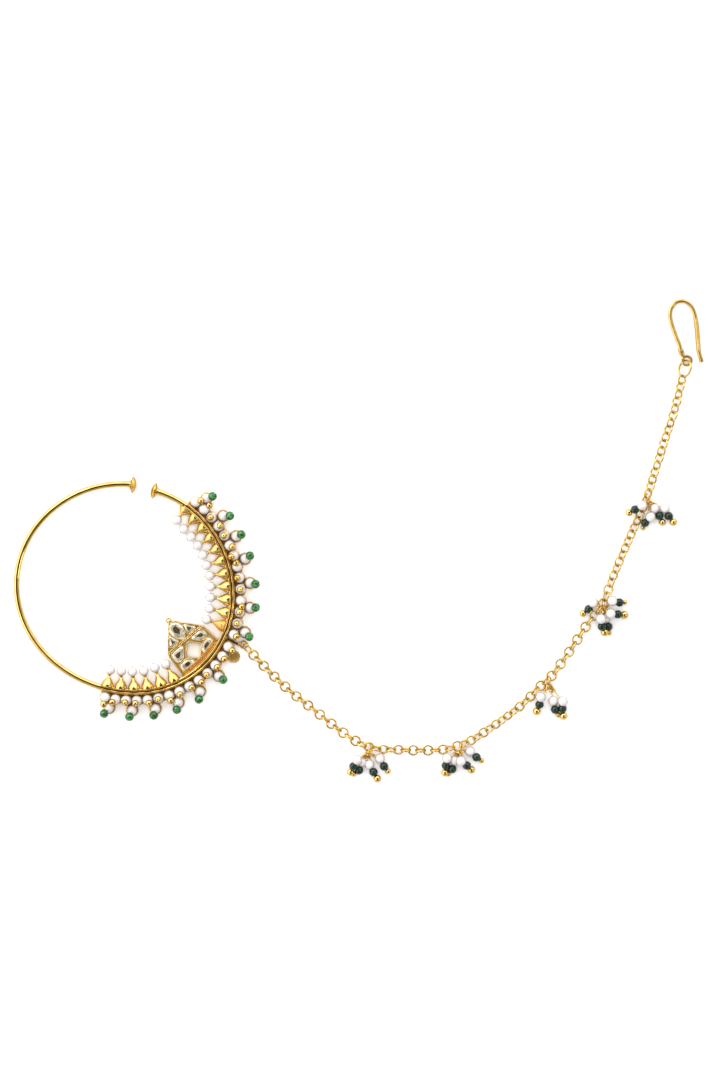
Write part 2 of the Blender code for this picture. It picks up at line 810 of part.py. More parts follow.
def make_green_beads(petals, leans, bare, first_number, material):
    """Green beads on top of the outer pearls, leaning outward, each clear of its pearl."""
    mesh = ball(GREEN_BEAD)
    number = first_number
    for index, (angle, lean) in enumerate(zip(petals, leans)):
        if index == bare:
            continue
        aside = lean * GREEN_BEAD
        reach = (OUTER_PEARL + GREEN_BEAD) / 2 + FIT_GAP
        rise = math.sqrt(reach**2 - GREEN_REACH**2 - aside**2)
        bead = new_object(f"green_bead_{number:02d}", mesh.copy(), material)
        across = Vector((-direction(angle).y, direction(angle).x, 0.0))
        shift = GREEN_REACH * direction(angle) + aside * across + Vector((0.0, 0.0, rise))
        bead.location = outer_pearl_centre(angle) + shift
        bead.parent = ROOT
        number += 1
    return number


def make_borders(pearl, green):
    """The border above the eyelet's bar and the border below it, each clear of the bar."""
    middle = math.degrees((EYELET_BAR / 2 + FIT_GAP) / hoop_radius(EYELET_BAR_ANGLE))
    upper_first, upper_petals = border_side(UPPER_BORDER_START, UPPER_BORDER_PITCH)
    lower_first, lower_petals = border_side(LOWER_BORDER_START, LOWER_BORDER_PITCH)
    start = upper_first[0] + UPPER_BORDER_PITCH / 2
    end = lower_first[-1] - LOWER_BORDER_PITCH / 2
    upper_end = EYELET_BAR_ANGLE + middle
    lower_start = EYELET_BAR_ANGLE - middle
    make_border("border_pearls_upper", upper_first, upper_petals, start, upper_end, None, pearl)
    make_border(
        "border_pearls_lower", lower_first, lower_petals, lower_start, end, BARE_PETAL, pearl
    )
    number = make_green_beads(upper_petals, UPPER_GREEN_LEAN, None, 1, green)
    make_green_beads(lower_petals, LOWER_GREEN_LEAN, BARE_PETAL, number, green)


def linked_ring(eye, bearing, tilt, length, width, wire_diameter):
    """A tilted oval ring whose near end passes down through a level eye. Returns (mesh, centre)."""
    ahead = direction(bearing)
    across = Vector((-ahead.y, ahead.x, 0.0))
    lean = math.radians(tilt)
    up = Vector((0.0, 0.0, 1.0))
    normal = math.cos(lean) * up - math.sin(lean) * across
    centre = eye + ahead * (length - wire_diameter) / 2
    matrix = frame_at(centre, ahead, normal)
    return ring(length, width, wire_diameter, matrix), centre


def chain_line(start):
    """The chain's centre line, level above the floor."""
    points = []
    for x, y in CHAIN_ROUTE:
        points.append(Vector((start.x + x * MM, start.y + y * MM, CHAIN_HEIGHT)))
    return smooth_line(points)


def strand_beads(ring_centre, strand):
    """Centres of a strand's pearl and green bead. A lifted pearl's bead hangs down at a slope."""
    pearl_bearing, reach, green_bearing, lift = strand
    pearl = ring_centre + reach * STRAND_PEARL * direction(pearl_bearing)
    pearl.z = STRAND_PEARL / 2 + lift * STRAND_PEARL
    spacing = STRAND_NEST * (STRAND_PEARL + STRAND_GREEN) / 2
    fall = min(pearl.z - STRAND_GREEN / 2, spacing * math.sin(math.radians(STRAND_SLOPE)))
    green = pearl + math.sqrt(spacing**2 - fall**2) * direction(green_bearing)
    green.z = pearl.z - fall
    return pearl, green


def make_drop(name, line, share, strands, material):
    """A ring round the chain with its strands, fused in one body."""
    centre, ahead = station(line, share)
    side = Vector((ahead.y, -ahead.x, 0.0))
    inner = CHAIN_DIAMETER + 2 * DROP_GAP
    outer = inner + 2 * STRAND_WIRE
    loop = ring(outer, outer, STRAND_WIRE, frame_at(centre, side, ahead))
    middle = (inner + STRAND_WIRE) / 2
    pieces = []
    for strand in strands:
        pearl, green = strand_beads(centre, strand)
        toward = pearl - centre
        toward -= toward.dot(ahead) * ahead
        hold = centre + toward.normalized() * middle
        pieces.append(rod(hold, pearl, STRAND_WIRE))
        pieces.append(ball(STRAND_PEARL, pearl, hole=green - pearl))
        pieces.append(ball(STRAND_GREEN, green, hole=green - pearl, roll=GREEN_ROLL))
    new_object(name, combine(loop, pieces, "UNION"), material)


def make_hook(eye, material):
    """The bent hair hook with the eye that its jump ring passes through."""
    level = Matrix.Translation(eye)
    loop = ring(HOOK_EYE_DIAMETER, HOOK_EYE_DIAMETER, HOOK_EYE_WIRE, level)
    low = HOOK_WIRE / 2
    points = []
    for x, y, rise in HOOK_ROUTE:
        height = low + rise * (eye.z - low)
        points.append(Vector((eye.x + x * MM, eye.y + y * MM, height)))
    neck = ring_edge(eye, points[0])
    limb = wire(even_points(smooth_line([neck, *points]), HOOK_POINTS), HOOK_WIRE)
    new_object("hair_hook", combine(loop, [limb], "UNION"), material)


def ring_edge(eye, point):
    """The point on the eye's wire nearest to a point outside it."""
    out = (point - eye).xy.to_3d().normalized()
    return eye + out * (HOOK_EYE_DIAMETER - HOOK_EYE_WIRE) / 2


def make_chain(gold, drop_material):
    eye = eyelet_centre()
    hoop_ring_sizes = (HOOP_RING_LENGTH, HOOP_RING_WIDTH, HOOP_RING_WIRE)
    mesh, centre = linked_ring(eye, HOOP_RING_BEARING, HOOP_RING_TILT, *hoop_ring_sizes)
    new_object("hoop_ring", mesh, gold)
    start = centre + direction(HOOP_RING_BEARING) * (HOOP_RING_LENGTH / 2 + LINK_GAP)
    line = chain_line(start)
    new_object("chain", wire(even_points(line, CHAIN_POINTS), CHAIN_DIAMETER), gold)
    for number, (share, strands) in enumerate(DROPS, 1):
        make_drop(f"bead_cluster_{number}", line, share, strands, drop_material)
    ahead = direction(HOOK_RING_BEARING)
    hook_eye = line[-1] + ahead * (HOOK_RING_LENGTH - HOOK_RING_WIRE / 2 + LINK_GAP)
    hook_eye.z = HOOK_EYE_HEIGHT
    hook_ring_sizes = (HOOK_RING_LENGTH, HOOK_RING_WIDTH, HOOK_RING_WIRE)
    back = HOOK_RING_BEARING + 180.0
    mesh, _ = linked_ring(hook_eye, back, HOOK_RING_TILT, *hook_ring_sizes)
    new_object("hook_ring", mesh, gold)
    make_hook(hook_eye, gold)


def centre_on_origin():
    """Moves the whole so that the origin is the middle of its underside."""
    bpy.context.view_layer.update()
    corners = []
    for item in PART.objects:
        if item.type != "MESH":
            continue
        item.parent = ROOT
        corners += [item.matrix_world @ vertex.co for vertex in item.data.vertices]
    low = Vector([min(corner[axis] for corner in corners) for axis in range(3)])
    high = Vector([max(corner[axis] for corner in corners) for axis in range(3)])
    ROOT.location = (-(low.x + high.x) / 2, -(low.y + high.y) / 2, -low.z)


clear_scene()
PART = bpy.data.collections.new("nath")
TOOLS = bpy.data.collections.new("tools")
TOOLS.hide_render = True
bpy.context.scene.collection.children.link(PART)
bpy.context.scene.collection.children.link(TOOLS)
ROOT = bpy.data.objects.new("nath_root", None)
PART.objects.link(ROOT)

GOLD = make_material("gold", (0.83, 0.58, 0.2), 1.0, 0.25)
PEARL = make_material("pearl", (0.93, 0.9, 0.88), 0.0, 0.25)
GREEN = make_material("green_glass", (0.04, 0.25, 0.08), 0.0, 0.15)
POLKI = make_material("polki", (0.9, 0.86, 0.7), 0.0, 0.05)

make_hoop_frame(GOLD)
make_stones(POLKI)
make_spike_pearls(PEARL)
make_borders(PEARL, GREEN)
make_chain(GOLD, PEARL)
centre_on_origin()
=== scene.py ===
"""Finished surfaces of a nath: a bridal nose ring lying flat with its hair chain.

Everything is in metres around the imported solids, +Z up, with the floor at zero. The pieces are made by
the operators below, in the order in which a maker would add them to the bare hoop.
"""

import math
import random

import bmesh
import bpy
from bpy.props import FloatProperty, FloatVectorProperty, IntProperty
from mathutils import Matrix, Vector


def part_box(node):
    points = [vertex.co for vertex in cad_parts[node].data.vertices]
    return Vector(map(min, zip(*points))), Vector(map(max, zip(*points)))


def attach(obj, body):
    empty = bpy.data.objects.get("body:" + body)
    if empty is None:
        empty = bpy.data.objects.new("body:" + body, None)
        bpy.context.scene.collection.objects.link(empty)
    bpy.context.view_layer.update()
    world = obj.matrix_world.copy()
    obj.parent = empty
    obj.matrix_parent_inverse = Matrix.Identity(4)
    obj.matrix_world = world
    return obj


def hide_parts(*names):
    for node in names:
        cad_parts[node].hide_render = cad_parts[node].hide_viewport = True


bl_info = {
    "name": "Nath Nose Ring",
    "version": (1, 0, 0),
    "blender": (4, 5, 0),
    "location": "3D View > Sidebar > Nath",
    "description": "Builds the finished surfaces of a nath, its chain and its hair hook",
    "category": "Object",
}

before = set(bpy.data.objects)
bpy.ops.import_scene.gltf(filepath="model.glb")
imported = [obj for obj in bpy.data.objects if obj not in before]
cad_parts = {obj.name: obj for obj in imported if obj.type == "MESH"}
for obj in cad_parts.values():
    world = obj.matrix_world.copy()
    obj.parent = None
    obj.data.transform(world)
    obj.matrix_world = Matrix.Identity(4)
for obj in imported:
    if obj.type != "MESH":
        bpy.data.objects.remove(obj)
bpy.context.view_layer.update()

MM = 0.001
UP = Vector((0.0, 0.0, 1.0))

# The hoop as it was bent by hand, with angles in degrees anticlockwise from the right
HOOP_RADIUS = 26.4 * MM
HOOP_OVAL = 0.86 * MM
HOOP_OVAL_ANGLE = -28.0
HOOP_LOBE = 0.26 * MM
HOOP_LOBE_ANGLE = -49.6
HOOP_HEIGHT = 2.05 * MM
LEFT_END = 85.6
RIGHT_END = 73.4
PINCH = 0.4 * MM
PINCH_ARC = 40.0
BAND_START = 54.0
BAND_END = -103.5
UPPER_SPIKES = 11
UPPER_SPIKE_START = 52.65
UPPER_SPIKE_PITCH = 7.35
LOWER_SPIKE_START = -100.3
LOWER_SPIKE_PITCH = 7.7
SPIKE_COUNT = 17
FIRST_SPIKE_REACH = 0.84 * 5.0 * MM

# The border's angles and distances out from the wire's centre line
PAIRS = 7
UPPER_BORDER_START = 50.8
UPPER_BORDER_PITCH = 5.68
LOWER_BORDER_START = -29.5
LOWER_BORDER_PITCH = 5.46
PEARL_OFFSET = 2.17 * MM
PETAL_OFFSET = 4.65 * MM
PLATE_INNER = 0.57 * MM
PLATE_REACH = 3.4 * MM
PLATE_THICKNESS = 0.6 * MM
PEARL_SINK = 0.15 * MM
BARE_PETAL = 7
EYELET_BAR_ANGLE = -26.4
EYELET_ANGLE = -25.4
EYELET_OFFSET = 5.5 * MM
EYELET_HEIGHT = 1.0 * MM

# Shift of each gold head bead from its pearl, in millimetres: round the hoop anticlockwise, outward
HEAD_SHIFTS = (
    (-0.9, 1.1), (-0.3, 1.7), (0.05, -0.1), (-0.2, 0.5), (0.0, 0.0), (-0.6, 0.55), (-0.1, -0.6),
    (0.9, 0.1), (0.0, -0.4), (-0.1, 0.05), (-1.5, 0.35), (0.0, 0.1), (0.0, 0.0), (-0.15, 0.9),
    (-0.3, 1.45), (-0.2, 0.9), (0.0, 0.8), (-0.35, 0.2), (0.3, 0.9), (0.5, 0.6), (-0.1, 0.8),
    (0.0, 1.35), (0.0, 0.2), (0.3, 0.8), (-0.3, 0.6), (-0.1, 0.5), (-0.6, 0.8), (0.0, 1.75),
)

# The plaque: its axis, its outline as (share of height, share of half width) and its hole
PLAQUE_ANGLE = -42.9
PLAQUE_OFFSET = -1.45 * MM
PLAQUE_TURN = -6.9
PLAQUE_HEIGHT = 12.6 * MM
PLAQUE_HALF_WIDTH = 6.0 * MM
PLAQUE_SLANT = 0.12
PLAQUE_FOOT_ARC = 28.0
PLAQUE_BOTTOM = HOOP_HEIGHT - 1.35 * MM
PLAQUE_THICKNESS = 1.9 * MM
DIVIDER = 0.48
PLAQUE_EDGE = (
    (1.0, 0.0), (0.97, 0.08), (0.90, 0.16), (0.83, 0.31), (0.71, 0.57),
    (0.60, 0.76), (0.51, 0.92), (0.44, 0.98), (0.28, 1.0), (0.05, 1.05),
)
HOLE = ((0.425, 0.0), (0.23, 0.41), (0.03, 0.0), (0.23, -0.41))
STONES = (
    "polki_apex", "polki_side_1", "polki_side_2",
    "polki_petal_1", "polki_petal_2", "polki_petal_3", "polki_petal_4",
)

# Route of the chain over the floor, in millimetres from its end at the hoop
CHAIN_ROUTE = (
    (0.0, 0.0), (4.2, -4.4), (9.8, -9.6), (15.9, -14.4), (22.0, -19.2), (26.8, -22.3),
    (30.6, -23.6), (35.0, -23.9), (42.0, -24.1), (47.5, -23.9), (51.2, -23.0), (54.9, -21.5),
    (58.0, -19.5), (61.4, -17.2), (66.0, -13.8), (68.9, -11.2), (71.5, -8.4), (74.6, -5.7),
    (79.0, 0.3), (83.3, 6.8), (85.6, 9.8), (87.5, 12.3), (88.7, 15.4), (90.6, 20.4),
    (94.5, 29.5), (98.0, 37.5), (100.7, 45.8), (103.0, 53.2), (105.4, 60.5), (107.5, 68.9),
)
CHAIN_HEIGHT = 1.5 * MM
HOOP_RING_BEARING = -46.5
HOOP_RING_TILT = 50.0
HOOK_RING_BEARING = 76.3
HOOK_RING_TILT = 45.0
LINK_GAP = 0.18 * MM

# How the links lie: (share of the chain, roll of every other link from flat, in degrees)
LINK_ROLLS = (
    (0.0, 12.0), (0.18, 8.0), (0.24, 30.0), (0.30, 6.0), (0.36, 24.0), (0.44, 34.0),
    (0.52, 16.0), (0.64, 8.0), (0.70, 38.0), (1.0, 44.0),
)

# Drops: place on the chain, then each strand as (bearing of its pearl, reach in pearl diameters,
# bearing of the green bead from the pearl, lift of the pearl in diameters, bearing of the gold
# bead and its diameter in millimetres)
DROPS = (
    (0.220, (
        (-136, 1.77, -119, 0.85, -115, 1.9),
        (-118, 1.70, -109, 0.0, -146, 1.4),
        (-92, 1.75, -61, 0.0, -59, 1.9),
        (-49, 1.54, -62, 0.0, -51, 1.4),
    )),
    (0.354, (
        (-136, 1.93, -98, 0.56, -96, 1.9),
        (-111, 1.72, -105, 0.0, -128, 1.3),
        (-90, 1.60, -39, 0.8, -43, 1.9),
        (-36, 1.16, -42, 0.0, -35, 1.3),
    )),
    (0.516, (
        (-115, 2.02, -97, 0.6, -111, 2.0),
        (-79, 2.29, -78, 0.0, -60, 1.3),
        (-59, 2.62, -90, 0.5, -80, 1.9),
    )),
    (0.652, (
        (179, 1.02, -124, 0.4, -142, 1.7),
        (13, 0.88, -11, 0.7, 2, 1.3),
        (-57, 1.27, -5, 0.85, -6, 2.0),
        (-100, 1.61, -82, 0.95, -61, 2.0),
        (-81, 1.56, -71, 0.0, -83, 1.3),
    )),
    (0.821, (
        (-122, 1.14, -149, 1.05, -152, 1.8),
        (-60, 1.46, -55, 0.0, -64, 1.7),
        (-35, 2.16, -62, 0.0, -52, 1.9),
        (-82, 2.13, -131, 0.55, -109, 1.2),
    )),
)

# Centre line of the hook: millimetres from the middle of its eye, and the share of the eye's height
HOOK_ROUTE = (
    (-1.5, 2.0, 1.0), (-1.8, 3.8, 0.85), (-2.5, 5.6, 0.7), (-3.3, 7.9, 0.5), (-3.9, 10.0, 0.3),
    (-4.1, 11.7, 0.15), (-3.7, 13.3, 0.0), (-2.6, 14.6, 0.0), (-1.1, 15.0, 0.0), (0.4, 14.5, 0.0),
    (1.5, 13.2, 0.0), (2.2, 11.2, 0.0), (2.6, 8.7, 0.0), (2.8, 6.2, 0.0), (3.0, 4.0, 0.0),
    (3.15, 2.2, 0.0), (3.9, -0.3, 0.0),
)
HOOK_EYE_HEIGHT = 1.65 * MM
TWIST_SHARES = (0.66, 0.93)

# The photograph's frame: height of the view in metres and the world point at its centre
VIEW_HEIGHT = 270.0 * MM
CAMERA_HEIGHT = 750.0 * MM
PHOTO_CENTRE = Vector((359.23, 537.19))
PHOTO_SCALE = 0.25 * MM
PHOTO_SIZE = Vector((720.0, 1080.0))


class NathHoopSettings(bpy.types.PropertyGroup):
    wire: FloatProperty(
        name="Wire", description="Diameter of the hoop's wire", default=1.4 * MM, unit="LENGTH"
    )
    rail: FloatProperty(
        name="Rail", description="Diameter of the two band rails", default=0.6 * MM, unit="LENGTH"
    )
    rail_spread: FloatProperty(
        name="Rail spread",
        description="Distance between the two rails' centre lines",
        default=0.84 * MM,
        unit="LENGTH",
    )
    cap: FloatProperty(
        name="Cap", description="Diameter of the end caps", default=4.1 * MM, unit="LENGTH"
    )
    cap_thickness: FloatProperty(
        name="Cap thickness",
        description="Thickness of the end caps",
        default=1.5 * MM,
        unit="LENGTH",
    )
    spike_base: FloatProperty(
        name="Spike base", description="Width of a spike's foot", default=3.0 * MM, unit="LENGTH"
    )
    spike_pearl: FloatProperty(
        name="Spike pearl",
        description="Diameter of the pearls on the spikes",
        default=2.4 * MM,
        unit="LENGTH",
    )


class NathBorderSettings(bpy.types.PropertyGroup):
    pearl: FloatProperty(
        name="Pearl", description="Diameter of the first row", default=2.65 * MM, unit="LENGTH"
    )
    outer_pearl: FloatProperty(
        name="Outer pearl",
        description="Diameter of the pearls on the petals",
        default=2.5 * MM,
        unit="LENGTH",
    )
    head: FloatProperty(
        name="Head bead",
        description="Diameter of the gold bead on each pearl",
        default=1.7 * MM,
        unit="LENGTH",
    )
    petal: FloatProperty(
        name="Petal", description="Diameter of the gold petals", default=2.9 * MM, unit="LENGTH"
    )
    green: FloatProperty(
        name="Green bead",
        description="Diameter of the border's green beads",
        default=2.2 * MM,
        unit="LENGTH",
    )


class NathPlaqueSettings(bpy.types.PropertyGroup):
    wall: FloatProperty(
        name="Wall",
        description="Thickness of the gold wall round each stone",
        default=0.32 * MM,
        unit="LENGTH",
    )
    rim: FloatProperty(
        name="Rim",
        description="Thickness of the plaque's outer wall",
        default=0.34 * MM,
        unit="LENGTH",
    )
    stone_rise: FloatProperty(
        name="Stone rise",
        description="Height of a stone's table over its wall",
        default=0.16 * MM,
        unit="LENGTH",
    )
    grain: FloatProperty(
        name="Grain",
        description="Diameter of the gold grains along the foot",
        default=0.34 * MM,
        unit="LENGTH",
    )


class NathChainSettings(bpy.types.PropertyGroup):
    link: FloatProperty(
        name="Link", description="Outer diameter of a link", default=2.8 * MM, unit="LENGTH"
    )
    link_wire: FloatProperty(
        name="Link wire", description="Diameter of a link's wire", default=0.46 * MM, unit="LENGTH"
    )
    pearl: FloatProperty(
        name="Drop pearl", description="Diameter of a drop's pearl", default=2.5 * MM, unit="LENGTH"
    )
    green: FloatProperty(
        name="Drop green",
        description="Diameter of a drop's green bead",
        default=2.15 * MM,
        unit="LENGTH",
    )
    gold: FloatProperty(
        name="Drop gold",
        description="Size of the drops' gold beads, as a share of their usual size",
        default=1.0,
        min=0.1,
    )
    pin: FloatProperty(
        name="Pin", description="Diameter of the pins' wire", default=0.3 * MM, unit="LENGTH"
    )
    hook: FloatProperty(
        name="Hook", description="Diameter of the hook's wire", default=1.0 * MM, unit="LENGTH"
    )
    twists: IntProperty(
        name="Twists", description="Turns of the rope on the hook's limb", default=24, min=0
    )


class NathColours(bpy.types.PropertyGroup):
    gold: FloatVectorProperty(
        name="Gold", description="Polished gold", subtype="COLOR", default=(0.93, 0.64, 0.21)
    )
    # Painted shade: a darker, more orange gold for the back plate in the hollows between the border's
    # pearls.
    deep_gold: FloatVectorProperty(
        name="Deep gold",
        description="Gold in the hollows of the border",
        subtype="COLOR",
        default=(0.78, 0.38, 0.08),
    )
    pearl: FloatVectorProperty(
        name="Pearl", description="Pearl lustre", subtype="COLOR", default=(0.8, 0.77, 0.75)
    )
    green: FloatVectorProperty(
        name="Green", description="Border's green beads", subtype="COLOR", default=(0.025, 0.16, 0.035)
    )
    dark_green: FloatVectorProperty(
        name="Dark green",
        description="Drops' green beads",
        subtype="COLOR",
        default=(0.003, 0.014, 0.007),
    )
    stone: FloatVectorProperty(
        name="Stone", description="Foiled stones", subtype="COLOR", default=(0.92, 0.86, 0.68)
    )


class Value:
    """A shader socket that Python's arithmetic can work on."""

    def __init__(self, tree, socket):
        self.tree = tree
        self.socket = socket

    def maths(self, operation, first, second):
        made = self.tree.nodes.new("ShaderNodeMath")
        made.operation = operation
        for slot, value in zip(made.inputs, (first, second)):
            connect(self.tree, slot, value)
        return Value(self.tree, made.outputs[0])

    def __add__(self, other):
        return self.maths("ADD", self, other)

    def __radd__(self, other):
        return self.maths("ADD", other, self)

    def __sub__(self, other):
        return self.maths("SUBTRACT", self, other)

    def __rsub__(self, other):
        return self.maths("SUBTRACT", other, self)

    def __mul__(self, other):
        return self.maths("MULTIPLY", self, other)

    def __rmul__(self, other):
        return self.maths("MULTIPLY", other, self)

    def __pow__(self, other):
        return self.maths("POWER", self, other)


def connect(tree, slot, value):
    """Gives a socket a link or a fixed value."""
    if isinstance(value, Value):
        tree.links.new(value.socket, slot)
    else:
        slot.default_value = value


class Nodes:
    """Adds nodes to one shader tree."""

    def __init__(self, tree):
        self.tree = tree

    def node(self, kind, settings=None, inputs=None, output=0):
        made = self.tree.nodes.new(kind)
        for name, value in (settings or {}).items():
            if name == "stops":
                set_stops(made.color_ramp, value)
            else:
                setattr(made, name, value)
        for name, value in (inputs or {}).items():
            connect(self.tree, made.inputs[name], value)
        return Value(self.tree, made.outputs[output])

    def ramp(self, factor, *stops):
        return self.node("ShaderNodeValToRGB", {"stops": stops}, {"Fac": factor})

    def mix(self, factor, first, second):
        inputs = {0: factor, 6: first, 7: second}
        return self.node("ShaderNodeMix", {"data_type": "RGBA"}, inputs, 2)


class Finish(Nodes):
    """One material and its nodes."""

    def __init__(self, name):
        self.material = bpy.data.materials.new(name)
        self.material.use_nodes = True
        super().__init__(self.material.node_tree)
        self.shader = self.tree.nodes["Principled BSDF"]

    def place(self):
        return self.node("ShaderNodeTexCoord", output="Object")

    def noise(self, size, detail=3.0, roughness=0.5):
        """Cloudy noise with features of a size in metres."""
        settings = {"Vector": self.place(), "Scale": 1.0 / size, "Detail": detail}
        settings["Roughness"] = roughness
        return self.node("ShaderNodeTexNoise", inputs=settings)

    def bump(self, height, strength, distance):
        inputs = {"Height": height, "Strength": strength, "Distance": distance}
        return self.node("ShaderNodeBump", inputs=inputs)

    def surface(self, **values):
        for name, value in values.items():
            connect(self.tree, self.shader.inputs[name.replace("_", " ")], value)
        return self.material


def set_stops(ramp, stops):
    """Sets a ramp's stops from (place, colour) pairs."""
    while len(ramp.elements) < len(stops):
        ramp.elements.new(1.0)
    for element, (place, colour) in zip(ramp.elements, stops):
        element.position = place
        element.color = colour


def solid(colour, share=1.0):
    """A colour as four numbers, made darker or lighter by a share."""
    return (*(min(1.0, channel * share) for channel in colour), 1.0)


def grey(level):
    return (level, level, level, 1.0)


def gold_finish(name, colour, deep, roughness, grain=0.06, edge_shade_power=2.0):
    """Polished gold: colour drifts a little and has painted shade darkening it towards its edges, with fine
    hand-made waves.
    """
    finish = Finish(name)
    # Painted shade: a darker copy of the deep colour for the edges, also used as the tint of the
    # reflections there.
    edge_shade_colour = (deep[0] * 0.5, deep[1] * 0.4, deep[2] * 0.3, 1.0)
    drift = finish.noise(2.2 * MM, 4.0)
    base = finish.mix(finish.ramp(drift, (0.35, grey(0.0)), (0.68, grey(1.0))), colour, deep)
    # Painted shade: the colour darkens towards edges turned away from the view.
    edge = finish.node("ShaderNodeLayerWeight", inputs={"Blend": 0.5}, output="Facing")
    base = finish.mix(edge**edge_shade_power, base, edge_shade_colour)
    wear = finish.noise(0.22 * MM, 6.0, 0.65)
    waves = finish.noise(0.9 * MM, 2.0)
    height = waves + wear * 0.15
    return finish.surface(
        Base_Color=base,
        Metallic=1.0,
        Specular_Tint=edge_shade_colour,
        Roughness=roughness + wear * grain,
        Normal=finish.bump(height, 0.35, 0.025 * MM),
    )


def grained_gold(name, colour, deep, size):
    """Gold covered with tiny cast grains, with shade painted darker in the gaps between them."""
    finish = Finish(name)
    inputs = {"Vector": finish.place(), "Scale": 1.0 / size}
    grains = finish.node("ShaderNodeTexVoronoi", inputs=inputs, output="Distance")
    # Painted shade: the colour darkens to the deep colour in the gaps between the grains.
    base = finish.mix(finish.ramp(grains, (0.2, grey(0.0)), (0.7, grey(1.0))), colour, deep)
    return finish.surface(
        Base_Color=base,
        Metallic=1.0,
        Roughness=0.22 + grains * 0.15,
        Normal=finish.bump(1.0 - grains, 0.9, 0.12 * MM),
    )


def pearl_finish(name, colour):
    """Pearl: a soft body with painted shade darkening its rim, faint growth clouds and a clear glossy skin.
    """
    finish = Finish(name)
    clouds = finish.noise(1.1 * MM, 3.0)
    body = finish.mix(clouds * 0.6, solid(colour), solid((0.66, 0.56, 0.53)))
    rim = finish.node("ShaderNodeLayerWeight", inputs={"Blend": 0.5}, output="Facing")
    # Painted shade: the body darkens to grey-brown towards the rim seen edge-on.
    base = finish.mix(rim**1.7, body, solid((0.1, 0.07, 0.07)))
    skin = finish.noise(0.3 * MM, 4.0)
    return finish.surface(
        Base_Color=base,
        Roughness=0.2 + skin * 0.1,
        Subsurface_Weight=0.12,
        Subsurface_Scale=0.4 * MM,
        Specular_IOR_Level=0.9,
        Coat_Weight=1.0 - rim,
        Coat_Roughness=0.05,
        Coat_IOR=1.8,
        Normal=finish.bump(skin, 0.15, 0.02 * MM),
    )


def bead_finish(name, colour, light, dark):
    """Polished glass bead: lighter in the body, with painted shade taking it nearly black at the rim."""
    finish = Finish(name)
    streaks = finish.noise(0.8 * MM, 4.0, 0.6)
    body = finish.mix(finish.ramp(streaks, (0.42, grey(0.0)), (0.6, grey(1.0))), colour, light)
    rim = finish.node("ShaderNodeLayerWeight", inputs={"Blend": 0.5}, output="Facing")
    # Painted shade: the colour darkens to the dark colour towards the rim seen edge-on.
    base = finish.mix(rim**0.8, body, dark)
    return finish.surface(
        Base_Color=base,
        Roughness=0.07 + streaks * 0.08,
        Coat_Weight=1.0 - rim,
        Coat_Roughness=0.03,
        Specular_IOR_Level=0.15,
        Normal=finish.bump(streaks, 0.2, 0.03 * MM),
    )


def stone_finish(name, colour, foil):
    """Uncut stone over foil: pale and silvery, with smoky inner clouds. Foil is its mirror share."""
    finish = Finish(name)
    clouds = finish.noise(0.9 * MM, 3.0)
    smoke = finish.ramp(clouds, (0.42, grey(0.0)), (0.62, grey(1.0)))
    base = finish.mix(smoke, solid(colour, 1.1), solid(colour, 0.5))
    ripples = finish.noise(0.5 * MM, 2.0)
    return finish.surface(
        Base_Color=base,
        Metallic=foil,
        Roughness=0.08 + ripples * 0.08,
        Coat_Weight=1.0,
        Coat_Roughness=0.02,
        Normal=finish.bump(ripples, 0.25, 0.05 * MM),
    )


def make_finishes(colours):
    """Every material of the nath, by name."""
    gold = solid(colours.gold)
    bright = solid(colours.gold, 1.1)
    # Painted shade: this colour darkens the border's hollows and the gaps between grains; the warm gold
    # drifts towards it.
    deep = solid(colours.deep_gold)
    FINISHES.update(
        gold=gold_finish("polished_gold", bright, solid(colours.gold, 0.85), 0.07),
        bright_gold=gold_finish("bright_gold", solid((1.0, 0.8, 0.42)), gold, 0.09),
        satin=gold_finish("satin_gold", gold, solid(colours.gold, 0.8), 0.4, 0.2),
        # Painted shade: the back plate between the pearls is a darker, more orange copy of the gold.
        deep_gold=gold_finish("deep_gold", solid((0.9, 0.5, 0.14)), deep, 0.4, 0.2),
        drawn=gold_finish("drawn_gold", gold, solid(colours.gold, 0.7), 0.2, 0.1, 1.5),
        linked=gold_finish("link_gold", bright, solid(colours.gold, 0.7), 0.1, 0.1, 1.5),
        warm=gold_finish("warm_gold", solid((0.9, 0.55, 0.15)), deep, 0.2, 0.1, 1.5),
        grained=grained_gold("grained_gold", bright, deep, 0.3 * MM),
        pearl=pearl_finish("pearl", colours.pearl),
        # Each bead's last colour is the painted shade at its rim.
        green=bead_finish(
            "green_glass", solid(colours.green, 0.35), solid(colours.green, 2.2), solid((0.0, 0.012, 0.0))
        ),
        dark_green=bead_finish(
            "dark_green_glass",
            solid(colours.dark_green),
            solid(colours.dark_green, 3.0),
            solid((0.0, 0.004, 0.002)),
        ),
        stone=stone_finish("foiled_stone", colours.stone, 0.6),
        table=stone_finish("stone_table", (0.75, 0.6, 0.36), 0.95),
    )


FINISHES = {}


def middle_of(node):
    low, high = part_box(node)
    return (low + high) / 2


def bearing(angle):
    """The level direction at an angle in degrees, anticlockwise from the right."""
    turn = math.radians(angle)
    return Vector((math.cos(turn), math.sin(turn), 0.0))


def hoop_radius(angle):
    """Radius of the hoop's centre line, with its oval, its lobe and the pinch at its right end."""
    angle = (angle + 180.0) % 360.0 - 180.0
    oval = HOOP_OVAL * math.cos(2 * math.radians(angle - HOOP_OVAL_ANGLE))
    lobe = HOOP_LOBE * math.cos(3 * math.radians(angle - HOOP_LOBE_ANGLE))
    near_end = 0.0
    if angle < (LEFT_END + RIGHT_END) / 2:
        near_end = max(0.0, 1.0 - (RIGHT_END - angle) / PINCH_ARC)
    return HOOP_RADIUS + oval + lobe - PINCH * near_end**2


def from_centre(angle, outward, height):
    return (hoop_radius(angle) + outward) * bearing(angle) + height * UP


